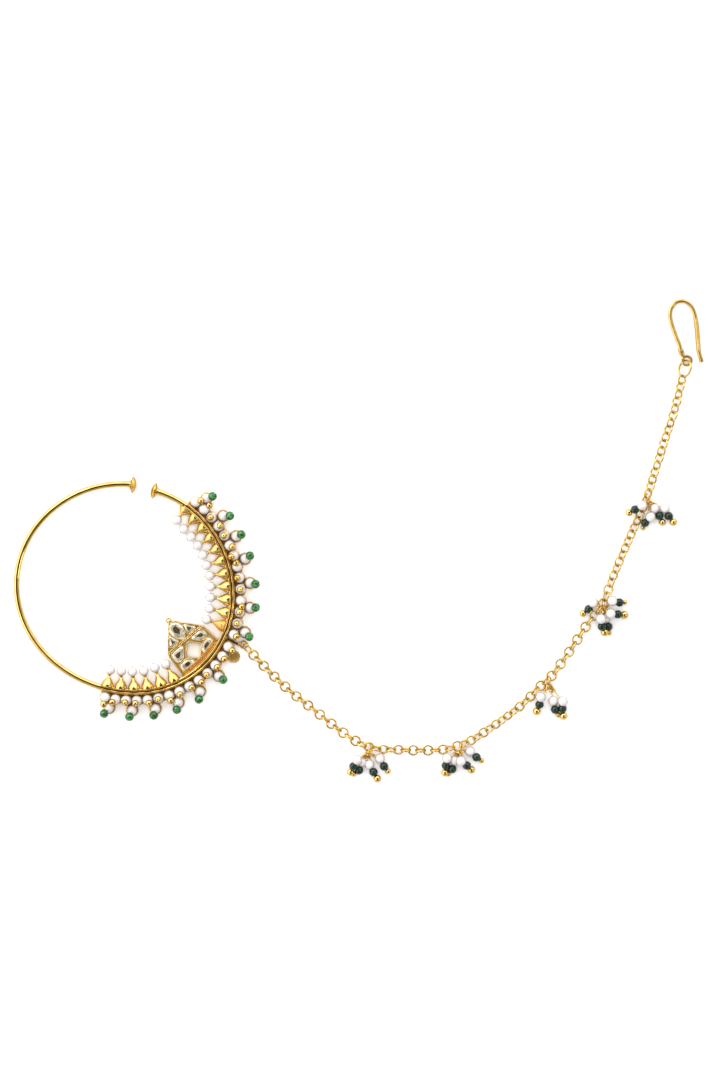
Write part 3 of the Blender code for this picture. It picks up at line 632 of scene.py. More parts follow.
HOOP_CENTRE = middle_of("spike_pearl_01") - from_centre(
    UPPER_SPIKE_START, -FIRST_SPIKE_REACH, HOOP_HEIGHT
)


def hoop_point(angle, outward=0.0, height=0.0):
    """A point by its angle, its distance out from the wire's centre line and its height."""
    return HOOP_CENTRE + from_centre(angle, outward, height)


def hoop_arc(start, end, count, outward=0.0, height=0.0):
    step = (end - start) / (count - 1)
    return [hoop_point(start + step * index, outward, height) for index in range(count)]


def hoop_tangent(angle):
    return (hoop_point(angle + 0.5) - hoop_point(angle - 0.5)).normalized()


def plaque_point(along, aside, height=0.0):
    """A point of the plaque by its share of the height and of the half width."""
    axis = bearing(PLAQUE_ANGLE + 180.0 + PLAQUE_TURN)
    side = Vector((axis.y, -axis.x, 0.0))
    lean = PLAQUE_SLANT * max(0.0, 1.0 - along / DIVIDER)
    sideways = aside * PLAQUE_HALF_WIDTH
    inward = along * PLAQUE_HEIGHT + lean * sideways
    return hoop_point(PLAQUE_ANGLE, PLAQUE_OFFSET, height) + inward * axis + sideways * side


def smooth_line(points, samples=10):
    """A fine line through the points, bent evenly at each."""
    ends = [2 * points[0] - points[1], *points, 2 * points[-1] - points[-2]]
    line = []
    for before, start, end, after in zip(ends, ends[1:], ends[2:], ends[3:]):
        for index in range(samples):
            t = index / samples
            flat = 2 * start
            slope = (end - before) * t
            bend = (2 * before - 5 * start + 4 * end - after) * t**2
            twist = (3 * start - before - 3 * end + after) * t**3
            line.append((flat + slope + bend + twist) / 2)
    line.append(points[-1].copy())
    return line


def line_length(line):
    return sum((second - first).length for first, second in zip(line, line[1:]))


def station(line, distance):
    """The point and the direction at a distance along a line."""
    for start, end in zip(line, line[1:]):
        piece = end - start
        if distance <= piece.length:
            break
        distance -= piece.length
    else:
        distance = piece.length
    return start + piece.normalized() * distance, piece.normalized()


def even_points(line, count):
    step = line_length(line) / (count - 1)
    return [station(line, step * index)[0] for index in range(count)]


def frame_at(centre, x_axis, z_axis):
    """A matrix with the given X axis and, as near as it can be, the given Z axis."""
    x_axis = x_axis.normalized()
    y_axis = z_axis.cross(x_axis).normalized()
    turn = Matrix((x_axis, y_axis, x_axis.cross(y_axis))).transposed().to_4x4()
    return Matrix.Translation(centre) @ turn


def pointing(centre, direction):
    """A matrix at a point whose Z axis runs along a direction."""
    return Matrix.Translation(centre) @ direction.to_track_quat("Z", "Y").to_matrix().to_4x4()


def table_value(table, share):
    """A value between the rows of a (share, value) table."""
    for (low, first), (high, second) in zip(table, table[1:]):
        if share <= high:
            return first + (second - first) * (share - low) / (high - low)
    return table[-1][1]


def bridge(work, rings, closed, material):
    """Joins rings of vertices, each as long as the next, with quads."""
    faces = []
    pairs = list(zip(rings, rings[1:]))
    if closed:
        pairs.append((rings[-1], rings[0]))
    for first, second in pairs:
        for index in range(len(first)):
            after = (index + 1) % len(first)
            corners = (first[index], first[after], second[after], second[index])
            faces.append(work.faces.new(corners))
    for face in faces:
        face.material_index = material
    return faces


def tube(work, points, width, sides=12, closed=False, material=0):
    """A wire along points. Its width is a number or a function of share of length and turn."""
    count = len(points)
    tangents = []
    for index, point in enumerate(points):
        before = points[index - 1] if closed or index else point
        after = points[(index + 1) % count] if closed or index < count - 1 else point
        tangents.append((after - before).normalized())
    normal = tangents[0].orthogonal().normalized()
    if closed:
        normal = (points[1] - points[0]).cross(points[2] - points[1]).normalized()
    rings = []
    for index, (point, tangent) in enumerate(zip(points, tangents)):
        normal = (normal - normal.dot(tangent) * tangent).normalized()
        other = tangent.cross(normal)
        ring = []
        for side in range(sides):
            turn = 2 * math.pi * side / sides
            radius = width(index / (count - 1), turn) / 2 if callable(width) else width / 2
            ring.append(work.verts.new(point + (math.cos(turn) * normal + math.sin(turn) * other) * radius))
        rings.append(ring)
    bridge(work, rings, closed, material)
    if not closed:
        work.faces.new(list(reversed(rings[0]))).material_index = material
        work.faces.new(rings[-1]).material_index = material


def turned(work, profile, matrix, steps=32, material=0):
    """A shape turned round a matrix's Z axis, from (radius, height) points, top to bottom."""
    rings = []
    ends = []
    for radius, height in profile:
        if radius == 0.0:
            ends.append((len(rings), work.verts.new(matrix @ Vector((0.0, 0.0, height)))))
            continue
        ring = []
        for step in range(steps):
            turn = -2 * math.pi * step / steps
            spot = Vector((radius * math.cos(turn), radius * math.sin(turn), height))
            ring.append(work.verts.new(matrix @ spot))
        rings.append(ring)
    bridge(work, rings, False, material)
    for place, tip in ends:
        ring = rings[0] if place == 0 else rings[-1]
        for index in range(steps):
            corners = [ring[index], ring[(index + 1) % steps], tip]
            if place == 0:
                corners.reverse()
            work.faces.new(corners).material_index = material


def rounded_profile(profile, samples=4):
    """A turned profile with its corners rounded."""
    points = [Vector((radius, height, 0.0)) for radius, height in profile]
    line = smooth_line(points, samples)
    return [(max(0.0, point.x), point.y) for point in line]


def ball(work, centre, diameter, axis=UP, material=0, segments=24, rings=14):
    """A bead with its poles on an axis."""
    turns = [math.pi * ring / rings for ring in range(rings + 1)]
    profile = [(math.sin(turn) * diameter / 2, math.cos(turn) * diameter / 2) for turn in turns]
    profile[0] = (0.0, diameter / 2)
    profile[-1] = (0.0, -diameter / 2)
    turned(work, profile, pointing(centre, axis), segments, material)


def oval(matrix, length, width, wire_width, count=32):
    """Centre line of an oval ring in a matrix's XY plane, with outer sizes."""
    points = []
    for index in range(count):
        turn = 2 * math.pi * index / count
        along = (length - wire_width) / 2 * math.cos(turn)
        across = (width - wire_width) / 2 * math.sin(turn)
        points.append(matrix @ Vector((along, across, 0.0)))
    return points


def moved_outline(outline, distance):
    """An anticlockwise outline with every side moved outward by the same distance."""
    made = []
    for index, point in enumerate(outline):
        arriving = (point - outline[index - 1]).normalized()
        leaving = (outline[(index + 1) % len(outline)] - point).normalized()
        first = Vector((arriving.y, -arriving.x, 0.0))
        second = Vector((leaving.y, -leaving.x, 0.0))
        made.append(point + (first + second) * (distance / (1.0 + first.dot(second))))
    return made


def softened(outline, rounds=2):
    """A closed outline with its corners cut away again and again."""
    for _ in range(rounds):
        made = []
        for index, point in enumerate(outline):
            after = outline[(index + 1) % len(outline)]
            made += [point.lerp(after, 0.25), point.lerp(after, 0.75)]
        outline = made
    return outline


def wall(work, outline, thickness, bottom, top, material=0):
    """A thin upright strip bent along an outline, with its top edge rolled over."""
    radius = thickness / 2
    section = [(0.0, bottom)]
    for step in range(9):
        turn = math.pi * step / 8
        section.append((radius - radius * math.cos(turn), top - radius + radius * math.sin(turn)))
    section.append((thickness, bottom))
    rings = []
    for shift, height in section:
        ring = [Vector((point.x, point.y, height)) for point in moved_outline(outline, shift)]
        rings.append([work.verts.new(point) for point in ring])
    bridge(work, rings, True, material)


def flat_plate(work, outlines, bottom, top, bevel, material=0):
    """A flat piece with holes, from outlines, with its edges rounded."""
    curve = bpy.data.curves.new("flat_plate", "CURVE")
    curve.dimensions = "2D"
    curve.fill_mode = "BOTH"
    curve.extrude = (top - bottom) / 2 - bevel
    curve.bevel_depth = bevel
    curve.bevel_resolution = 2
    curve.offset = -bevel
    for outline in outlines:
        spline = curve.splines.new("POLY")
        spline.points.add(len(outline) - 1)
        for place, point in zip(spline.points, outline):
            place.co = (point.x, point.y, 0.0, 1.0)
        spline.use_cyclic_u = True
    item = bpy.data.objects.new("flat_plate", curve)
    bpy.context.scene.collection.objects.link(item)
    graph = bpy.context.evaluated_depsgraph_get()
    mesh = bpy.data.meshes.new_from_object(item.evaluated_get(graph))
    mesh.transform(Matrix.Translation((0.0, 0.0, (bottom + top) / 2)))
    mesh.polygons.foreach_set("material_index", [material] * len(mesh.polygons))
    work.from_mesh(mesh)
    bpy.data.objects.remove(item)
    bpy.data.meshes.remove(mesh)


def finish_piece(name, work, finishes, nodes=(), crease=40.0):
    """Turns the shapes into a piece that rides on the nath and stands for its solids."""
    bmesh.ops.remove_doubles(work, verts=work.verts, dist=0.0005 * MM)
    bmesh.ops.recalc_face_normals(work, faces=work.faces)
    mesh = bpy.data.meshes.new(name)
    work.to_mesh(mesh)
    work.free()
    for finish in finishes:
        mesh.materials.append(FINISHES[finish])
    mesh.shade_smooth()
    mesh.set_sharp_from_angle(angle=math.radians(crease))
    item = bpy.data.objects.new(name, mesh)
    bpy.context.scene.collection.objects.link(item)
    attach(item, "root")
    if nodes:
        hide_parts(*nodes)
    return item


def build_hoop(sizes):
    """The bent wire, its band strip and its two rails, with a cap on each end."""
    work = bmesh.new()
    tube(work, hoop_arc(LEFT_END, RIGHT_END + 360.0, 300, 0.0, HOOP_HEIGHT), sizes.wire, 24)
    rail_height = HOOP_HEIGHT + 0.8 * sizes.wire / 2
    for side in (-0.5, 0.5):
        line = hoop_arc(
            BAND_START - side, BAND_END + side, 160, side * sizes.rail_spread, rail_height
        )
        tube(work, line, sizes.rail, 14)
    inner = hoop_arc(BAND_START, BAND_END, 90, -0.45 * MM)
    outer = hoop_arc(BAND_END, BAND_START, 90, 0.45 * MM)
    flat_plate(work, [inner + outer], 0.02 * MM, HOOP_HEIGHT, 0.08 * MM)
    for angle, toward in ((LEFT_END, -1.0), (RIGHT_END, 1.0)):
        add_cap(work, angle, toward, sizes)
    finish_piece("hoop_wire", work, ["gold"], ["hoop_frame"])


def add_cap(work, angle, toward, sizes):
    """A domed cap with a rolled rim and a short collar on the wire."""
    matrix = pointing(hoop_point(angle, 0.0, HOOP_HEIGHT), toward * hoop_tangent(angle))
    shape = (
        (0.0, 0.5), (0.34, 0.47), (0.62, 0.34), (0.85, 0.16), (0.97, 0.03), (1.0, -0.05),
        (0.97, -0.13), (0.86, -0.21), (0.66, -0.3), (0.48, -0.4), (0.42, -0.6), (0.0, -0.6),
    )
    radius = sizes.cap / 2
    profile = [(share * radius, height * sizes.cap_thickness) for share, height in shape]
    turned(work, rounded_profile(profile), matrix, 40)


def spike_angles():
    upper = [UPPER_SPIKE_START - UPPER_SPIKE_PITCH * index for index in range(UPPER_SPIKES)]
    lower = [
        LOWER_SPIKE_START + LOWER_SPIKE_PITCH * index for index in range(SPIKE_COUNT - UPPER_SPIKES)
    ]
    return upper + lower


def build_spikes(sizes):
    """The bell-shaped spikes, each with a cup for its pearl, and the pearls on pins."""
    shape = (
        (1.02, 0.34), (0.97, 0.3), (0.9, 0.2), (0.82, 0.22), (0.72, 0.34), (0.58, 0.55),
        (0.4, 0.8), (0.2, 0.97), (0.04, 1.05), (-0.04, 1.03), (-0.1, 0.9),
    )
    cones = bmesh.new()
    pearls = bmesh.new()
    for number, angle in enumerate(spike_angles(), 1):
        pearl = middle_of(f"spike_pearl_{number:02d}")
        base = hoop_point(angle, -sizes.wire / 2, HOOP_HEIGHT)
        inward = pearl - base
        length = inward.length - sizes.spike_pearl / 2 - 0.02 * MM
        profile = [(width * sizes.spike_base / 2, share * length) for share, width in shape]
        turned(
            cones,
            rounded_profile(profile, 3),
            pointing(base, inward),
            32,
            material=int(number == UPPER_SPIKES),
        )
        inward.normalize()
        ball(pearls, pearl, sizes.spike_pearl, inward, 0, 28, 18)
        tip = pearl + inward * (sizes.spike_pearl / 2 + 0.02 * MM)
        ball(pearls, tip, 0.42 * MM, inward, 1, 12, 8)
    finish_piece("spike_cones", cones, ["gold", "grained"])
    nodes = [f"spike_pearl_{number:02d}" for number in range(1, SPIKE_COUNT + 1)]
    finish_piece("spike_pearls", pearls, ["pearl", "gold"], nodes)


def stone_outline(node):
    """The outline of a stone's flat back, anticlockwise, read from its solid."""
    low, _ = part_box(node)
    corners = {}
    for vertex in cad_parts[node].data.vertices:
        if vertex.co.z < low.z + 0.01 * MM:
            corners[(round(vertex.co.x, 6), round(vertex.co.y, 6))] = vertex.co.copy()
    middle = sum(corners.values(), Vector()) / len(corners)
    return sorted(corners.values(), key=lambda c: math.atan2(c.y - middle.y, c.x - middle.x))


def build_plaque(sizes):
    """The plaque's floor, the walls round each cell, its rim, divider, apex bead and foot."""
    work = bmesh.new()
    low = HOOP_CENTRE.z + PLAQUE_BOTTOM
    top = low + PLAQUE_THICKNESS
    floor_top = low + 1.5 * MM
    side = [plaque_point(along, aside) for along, aside in PLAQUE_EDGE]
    other = [plaque_point(along, -aside) for along, aside in PLAQUE_EDGE[:0:-1]]
    half_foot = PLAQUE_FOOT_ARC / 2
    foot = hoop_arc(PLAQUE_ANGLE + half_foot, PLAQUE_ANGLE - half_foot, 9, -0.3 * MM)
    edge = side + foot + other
    hole = clipped([plaque_point(along, aside) for along, aside in HOLE], 0.08)
    flat_plate(work, [edge, hole], low, floor_top, 0.06 * MM, 1)
    for node in STONES:
        outline = softened(stone_outline(node), 2)
        wall(work, moved_outline(outline, 0.02 * MM), sizes.wall, low + 0.1 * MM, top)
    wall(work, oriented(hole), sizes.wall, low + 0.01 * MM, top - 0.1 * MM)
    rim = [point for point in oriented(edge)]
    wall(work, moved_outline(rim, -sizes.rim), sizes.rim, low + 0.01 * MM, top + 0.02 * MM)
    for shift in (-0.016, 0.016):
        start = plaque_point(DIVIDER + 0.012 + shift, 0.93, top - HOOP_CENTRE.z - 0.1 * MM)
        end = plaque_point(DIVIDER + 0.012 + shift, -0.93, top - HOOP_CENTRE.z - 0.1 * MM)
        tube(work, [start, end], 0.26 * MM, 10)
    apex = plaque_point(1.0, 0.0, PLAQUE_BOTTOM + PLAQUE_THICKNESS / 2)
    tube(work, oval(Matrix.Translation(apex), 1.5 * MM, 1.5 * MM, 0.4 * MM, 24), 0.4 * MM, 10, True)
    finish_piece("plaque_setting", work, ["bright_gold", "satin"])


def clipped(outline, share):
    """An outline with each corner cut off by a share of its sides."""
    made = []
    for index, point in enumerate(outline):
        after = outline[(index + 1) % len(outline)]
        made += [point.lerp(outline[index - 1], share), point.lerp(after, share)]
    return made


def oriented(outline):
    """The outline run anticlockwise."""
    after = outline[1:] + outline[:1]
    area = sum(a.x * b.y - b.x * a.y for a, b in zip(outline, after))
    return outline if area > 0 else list(reversed(outline))


def build_foot_strip(sizes):
    """Rows of gold grains between the plaque and the band."""
    work = bmesh.new()
    start = PLAQUE_ANGLE + 12.6
    end = PLAQUE_ANGLE - 12.6
    height = PLAQUE_BOTTOM + PLAQUE_THICKNESS
    for row, outward in enumerate((-1.68, -1.35, -1.02)):
        count = 44
        for index in range(count):
            angle = start + (end - start) * (index + 0.5 * (row % 2)) / count
            spot = hoop_point(angle, outward * MM, height - 0.05 * MM)
            ball(work, spot, sizes.grain, UP, 0, 10, 6)
    for outward in (-1.9, -0.82):
        tube(work, hoop_arc(start, end, 30, outward * MM, height), 0.22 * MM, 8)
    bed = hoop_arc(start, end, 24, -1.9 * MM) + hoop_arc(end, start, 24, -0.75 * MM)
    base = HOOP_CENTRE.z + height
    flat_plate(work, [bed], base - 0.9 * MM, base - 0.08 * MM, 0.03 * MM)
    finish_piece("foot_strip", work, ["warm"])


def build_stones(sizes):
    """The uncut stones: a sloping crown of facets round an uneven table."""
    top = HOOP_CENTRE.z + PLAQUE_BOTTOM + PLAQUE_THICKNESS
    for number, node in enumerate(STONES):
        chance = random.Random(20 + number)
        outline = stone_outline(node)
        work = bmesh.new()
        middle = sum(outline, Vector()) / len(outline)
        levels = ((0.0, -1.2), (0.0, -0.12), (0.2, 0.45), (0.56, 1.0))
        rings = []
        for level, (inset, rise) in enumerate(levels):
            ring = []
            for corner in outline:
                jitter = chance.uniform(-0.07, 0.07) if level > 1 else 0.0
                spot = corner.lerp(middle, inset + jitter)
                height = top + rise * (MM if rise < 0 else sizes.stone_rise)
                if level == 3:
                    height += chance.uniform(-0.02, 0.02) * MM
                ring.append(work.verts.new((spot.x, spot.y, height)))
            rings.append(ring)
        bridge(work, rings, False, 0)
        work.faces.new(rings[-1]).material_index = 1
        work.faces.new(list(reversed(rings[0])))
        finish_piece(f"{node}_cut", work, ["stone", "table"], [node], crease=3.0)


def border_angles():
    """Angles of the first row, then the angles of the petals, from the top down."""
    first = []
    petals = []
    for start, pitch in (
        (UPPER_BORDER_START, UPPER_BORDER_PITCH),
        (LOWER_BORDER_START, LOWER_BORDER_PITCH),
    ):
        row = [start - pitch * index for index in range(2 * PAIRS)]
        first += row
        petals += [(row[2 * pair] + row[2 * pair + 1]) / 2 for pair in range(PAIRS)]
    return first, petals


def build_back_plates():
    """The scalloped back plate on each side of the eyelet's bar, with its petal cups."""
    first, petals = border_angles()
    gap = math.degrees(0.5 * MM / hoop_radius(EYELET_BAR_ANGLE))
    ends = (
        (first[0] + UPPER_BORDER_PITCH / 2, EYELET_BAR_ANGLE + gap),
        (EYELET_BAR_ANGLE - gap, first[-1] - LOWER_BORDER_PITCH / 2),
    )
    for part, (name, (start, end)) in enumerate(zip(("upper", "lower"), ends)):
        work = bmesh.new()
        count = 90
        outer = []
        for index in range(count):
            angle = start + (end - start) * index / (count - 1)
            nearest = min(abs(angle - pearl) for pearl in first)
            dip = 0.5 * MM * min(1.0, nearest / (UPPER_BORDER_PITCH / 2)) ** 2
            outer.append(hoop_point(angle, PLATE_REACH + 0.1 * MM - dip))
        inner = hoop_arc(end, start, 60, PLATE_INNER)
        low = HOOP_CENTRE.z
        flat_plate(work, [outer + inner], low, low + PLATE_THICKNESS, 0.08 * MM, 0)
        for pearl in first[14 * part : 14 * part + 14]:
            add_seat(work, hoop_point(pearl, PEARL_OFFSET, PLATE_THICKNESS), 2.95 * MM)
        for petal in petals[7 * part : 7 * part + 7]:
            add_cup(work, petal, petals.index(petal) == BARE_PETAL)
        # The plate's first finish is a darker, more orange gold, painted shade for the hollows between the
        # pearls.
        finish_piece(
            f"back_plate_{name}",
            work,
            ["deep_gold", "gold", "satin"],
            [f"border_pearls_{name}"],
        )


def add_seat(work, centre, diameter):
    """A round wire seat under a pearl."""
    matrix = Matrix.Translation(centre + 0.18 * MM * UP)
    tube(work, oval(matrix, diameter, diameter, 0.3 * MM, 28), 0.3 * MM, 8, True, 1)


def add_cup(work, angle, bare):
    """A petal: a thin dished disc, nearly flat where it has lost its pearl."""
    centre = hoop_point(angle, PETAL_OFFSET, 0.0)
    radius = BORDER().petal / 2
    rim = 0.28 if bare else 0.62
    shape = (
        (0.0, 0.36), (0.55, 0.38), (0.86, 0.36 + rim * 0.35), (0.97, 0.4 + rim * 0.8),
        (1.03, 0.38 + rim), (1.08, 0.3 + rim * 0.7), (1.04, 0.25), (0.9, 0.02), (0.0, 0.02),
    )
    profile = [(share * radius, height * MM) for share, height in shape]
    turned(work, rounded_profile(profile, 3), Matrix.Translation(centre), 32, 2 if bare else 1)
    rim = Matrix.Translation(centre + (0.4 + rim) * MM * UP)
    tube(work, oval(rim, 2.1 * radius, 2.1 * radius, 0.28 * MM, 36), 0.28 * MM, 10, True, 1)


def build_border_pearls(sizes):
    """Both rows of pearls, and the gold bead wired to the front of each first-row pearl."""
    first, petals = border_angles()
    pearls = bmesh.new()
    heads = bmesh.new()
    height = PLATE_THICKNESS - PEARL_SINK + sizes.pearl / 2
    for angle, (around, outward) in zip(first, HEAD_SHIFTS):
        centre = hoop_point(angle, PEARL_OFFSET, height)
        ball(pearls, centre, sizes.pearl, UP, 0, 28, 18)
        level = around * MM * hoop_tangent(angle) + outward * MM * bearing(angle)
        reach = sizes.pearl / 2 + 0.34 * sizes.head
        out = (level + math.sqrt(reach**2 - level.length**2) * UP).normalized()
        add_head_bead(heads, centre + reach * out, sizes.head, out)
    height = PLATE_THICKNESS - PEARL_SINK + sizes.outer_pearl / 2
    for number, angle in enumerate(petals):
        if number != BARE_PETAL:
            ball(pearls, hoop_point(angle, PETAL_OFFSET, height), sizes.outer_pearl, UP, 0, 28, 18)
    finish_piece("border_pearls", pearls, ["pearl"])
    finish_piece("head_beads", heads, ["gold", "deep_gold"])


def add_head_bead(work, centre, diameter, out):
    """A hollow gold bead whose hole faces out of the pearl."""
    radius = diameter / 2
    profile = [(0.0, 0.35 * radius), (0.17 * radius, 0.35 * radius), (0.2 * radius, 0.9 * radius)]
    steps = 9
    for step in range(steps + 1):
        turn = math.radians(17.0 + (163.0 - 17.0) * step / steps)
        profile.append((radius * math.sin(turn), radius * math.cos(turn)))
    profile.append((0.0, -radius * 0.97))
    turned(work, profile, pointing(centre, out), 24)


def build_green_beads(sizes):
    """The green beads at the ends of the border's groups, each on a small gold pin."""
    work = bmesh.new()
    nodes = sorted(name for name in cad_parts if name.startswith("green_bead"))
    for node in nodes:
        centre = middle_of(node)
        out = (centre - HOOP_CENTRE).xy.to_3d().normalized()
        axis = (out * 0.9 + UP * 0.5).normalized()
        ball(work, centre, sizes.green, axis, 0, 28, 18)
        ball(work, centre + axis * sizes.green * 0.49, 0.36 * MM, axis, 1, 10, 6)
    finish_piece("border_green_beads", work, ["green", "gold"], nodes)


def ring_matrix(eye, angle, tilt, length, wire_width):
    """The tilted frame of a jump ring whose near end passes through an eye."""
    ahead = bearing(angle)
    across = Vector((-ahead.y, ahead.x, 0.0))
    lean = math.radians(tilt)
    normal = math.cos(lean) * UP - math.sin(lean) * across
    return frame_at(eye + ahead * (length - wire_width) / 2, ahead, normal)


def build_eyelet():
    """The bar, the post and the eye that carry the chain, and the chain's first jump ring."""
    work = bmesh.new()
    low = HOOP_CENTRE.z
    side = hoop_tangent(EYELET_BAR_ANGLE) * 0.35 * MM
    start = hoop_point(EYELET_BAR_ANGLE, 0.3 * MM)
    end = hoop_point(EYELET_BAR_ANGLE, 4.6 * MM)
    outline = [start - side, end - side, end + side, start + side]
    flat_plate(work, [outline], low + 0.15 * MM, low + 0.95 * MM, 0.12 * MM)
    eye = hoop_point(EYELET_ANGLE, EYELET_OFFSET, EYELET_HEIGHT)
    tube(work, oval(Matrix.Translation(eye), 2.15 * MM, 2.15 * MM, 0.45 * MM), 0.45 * MM, 12, True)
    post = hoop_point((EYELET_ANGLE + EYELET_BAR_ANGLE) / 2, 4.45 * MM, 0.2 * MM)
    ball(work, post + 0.75 * MM * UP, 1.05 * MM, UP, 0, 20, 12)
    finish_piece("chain_eyelet", work, ["gold"])
    ring = bmesh.new()
    matrix = ring_matrix(eye, HOOP_RING_BEARING, HOOP_RING_TILT, 3.2 * MM, 0.4 * MM)
    tube(ring, oval(matrix, 3.2 * MM, 2.4 * MM, 0.4 * MM, 40), 0.4 * MM, 12, True)
    finish_piece("first_jump_ring", ring, ["gold"], ["hoop_ring"])


def chain_line():
    """The chain's centre line from the first jump ring to the hook's."""
    eye = hoop_point(EYELET_ANGLE, EYELET_OFFSET, EYELET_HEIGHT)
    matrix = ring_matrix(eye, HOOP_RING_BEARING, HOOP_RING_TILT, 3.2 * MM, 0.4 * MM)
    start = matrix.translation + bearing(HOOP_RING_BEARING) * (1.6 * MM + LINK_GAP)
    start.z = HOOP_CENTRE.z + CHAIN_HEIGHT
    return smooth_line([start + Vector((x * MM, y * MM, 0.0)) for x, y in CHAIN_ROUTE])


def build_chain(sizes):
    """Every link of the chain, each passing through the next."""
    work = bmesh.new()
    line = chain_line()
    end_gap = 0.38 * MM
    length = line_length(line) - 2 * end_gap
    reach = sizes.link - 2 * sizes.link_wire - 0.02 * MM
    count = math.ceil(length / reach) + 1
    chance = random.Random(5)
    for number in range(count):
        share = number / (count - 1)
        centre, ahead = station(line, end_gap + share * length)
        roll = table_value(LINK_ROLLS, share) + 90.0 * (number % 2) + chance.uniform(-7.0, 7.0)
        normal = Matrix.Rotation(math.radians(roll), 3, ahead) @ UP
        matrix = frame_at(centre, ahead, normal)
        tube(work, oval(matrix, sizes.link, sizes.link, sizes.link_wire, 28), sizes.link_wire, 10, True)
    finish_piece("chain_links", work, ["linked"], ["chain"])


def strand_beads(centre, strand, sizes):
    """Centres of a strand's pearl, green bead and gold bead. A lifted pearl's beads hang down."""
    pearl_bearing, reach, green_bearing, lift, gold_bearing, gold_size = strand
    pearl = centre + reach * sizes.pearl * bearing(pearl_bearing)
    pearl.z = HOOP_CENTRE.z + sizes.pearl / 2 + lift * sizes.pearl
    spacing = 0.95 * (sizes.pearl + sizes.green) / 2
    fall = min(pearl.z - HOOP_CENTRE.z - sizes.green / 2, spacing / 2)
    green = pearl + math.sqrt(spacing**2 - fall**2) * bearing(green_bearing) - fall * UP
    size = gold_size * MM * sizes.gold
    spacing = 0.95 * (sizes.green + size) / 2
    fall = max(0.0, min(green.z - size / 2, spacing / 2))
    gold = green + math.sqrt(spacing**2 - fall**2) * bearing(gold_bearing) - fall * UP
    return pearl, green, gold, size


def build_drops(sizes):
    """The drops: a ring through the chain, wrapped pins, and the pearl, green and gold beads."""
    line = chain_line()
    length = line_length(line)
    for number, (share, strands) in enumerate(DROPS, 1):
        centre, ahead = station(line, share * length)
        work = bmesh.new()
        spread = sum((bearing(strand[0]) for strand in strands), Vector()).normalized()
        hang = centre + spread * 1.5 * MM
        matrix = frame_at(centre + spread * 0.75 * MM, spread, ahead)
        tube(work, oval(matrix, 3.1 * MM, 2.7 * MM, 0.4 * MM, 32), 0.4 * MM, 10, True, 0)
        for strand in strands:
            add_strand(work, hang, *strand_beads(centre, strand, sizes), sizes)
        finish_piece(
            f"drop_{number}",
            work,
            ["gold", "pearl", "dark_green"],
            [f"bead_cluster_{number}"],
        )


def add_strand(work, hang, pearl, green, gold, gold_size, sizes):
    """One pin with its loop, its wrapped neck and its three beads."""
    toward = (pearl - hang).normalized()
    length = (pearl - hang).length
    loop_radius = 0.55 * MM
    loop = frame_at(hang + toward * loop_radius * 0.8, toward, toward.orthogonal())
    tube(work, oval(loop, 1.4 * MM, 1.4 * MM, sizes.pin, 20), sizes.pin, 8, True, 0)
    neck = hang + toward * min(loop_radius * 1.8, length * 0.5)
    tube(work, [neck, pearl], sizes.pin, 8)
    free = length - sizes.pearl / 2 - (neck - hang).length
    if free > 0.25 * MM:
        coil_length = min(free, 1.1 * MM)
        add_coil(work, neck, toward, coil_length, sizes.pin)
    ball(work, pearl, sizes.pearl, green - pearl, 1, 28, 18)
    ball(work, green, sizes.green, gold - green, 2, 24, 14)
    out = (gold - green).normalized()
    add_head_bead(work, gold, gold_size, out)


def add_coil(work, start, toward, length, wire_width):
    """The wire wrapped round a pin's neck."""
    turns = max(1.0, length / (wire_width * 1.1))
    side = toward.orthogonal().normalized()
    other = toward.cross(side)
    points = []
    count = int(turns * 12) + 1
    for index in range(count):
        turn = 2 * math.pi * turns * index / (count - 1)
        out = (math.cos(turn) * side + math.sin(turn) * other) * wire_width
        points.append(start + toward * length * index / (count - 1) + out)
    tube(work, points, wire_width * 0.9, 7)


def build_hook(sizes):
    """The hair hook with its roped limb, its eye and the jump ring through it."""
    line = chain_line()
    ahead = bearing(HOOK_RING_BEARING)
    ring_length = 4.7 * MM
    ring_wire = 0.5 * MM
    eye = line[-1] + ahead * (ring_length - ring_wire / 2 + LINK_GAP)
    eye.z = HOOP_CENTRE.z + HOOK_EYE_HEIGHT
    ring = bmesh.new()
    matrix = ring_matrix(eye, HOOK_RING_BEARING + 180.0, HOOK_RING_TILT, ring_length, ring_wire)
    tube(ring, oval(matrix, ring_length, 4.25 * MM, ring_wire, 48), ring_wire, 12, True)
    finish_piece("hook_jump_ring", ring, ["linked"], ["hook_ring"])
    work = bmesh.new()
    eye_size = 3.0 * MM
    eye_wire = 0.8 * MM
    tube(work, oval(Matrix.Translation(eye), eye_size, eye_size, eye_wire, 40), eye_wire, 16, True)
    low = sizes.hook / 2 + HOOP_CENTRE.z
    points = []
    for x, y, rise in HOOK_ROUTE:
        points.append(Vector((eye.x + x * MM, eye.y + y * MM, low + rise * (eye.z - low))))
    out = (points[0] - eye).xy.to_3d().normalized()
    neck = eye + out * (eye_size - eye_wire) / 2
    limb = even_points(smooth_line([neck, *points]), 780)
    start, end = TWIST_SHARES

    def roped(share, turn):
        inside = min(1.0, max(0.0, (share - start) / 0.03)) * min(1.0, max(0.0, (end - share) / 0.03))
        ridge = math.cos(2 * (turn - math.pi * sizes.twists * (share - start) / (end - start)))
        return sizes.hook * (1.0 + inside * (0.12 + 0.07 * ridge))

    tube(work, limb, roped, 24)
    add_coil(work, limb[18], (limb[72] - limb[18]).normalized(), 1.6 * MM, 0.5 * MM)
    finish_piece("hook_limb", work, ["drawn"], ["hair_hook"])


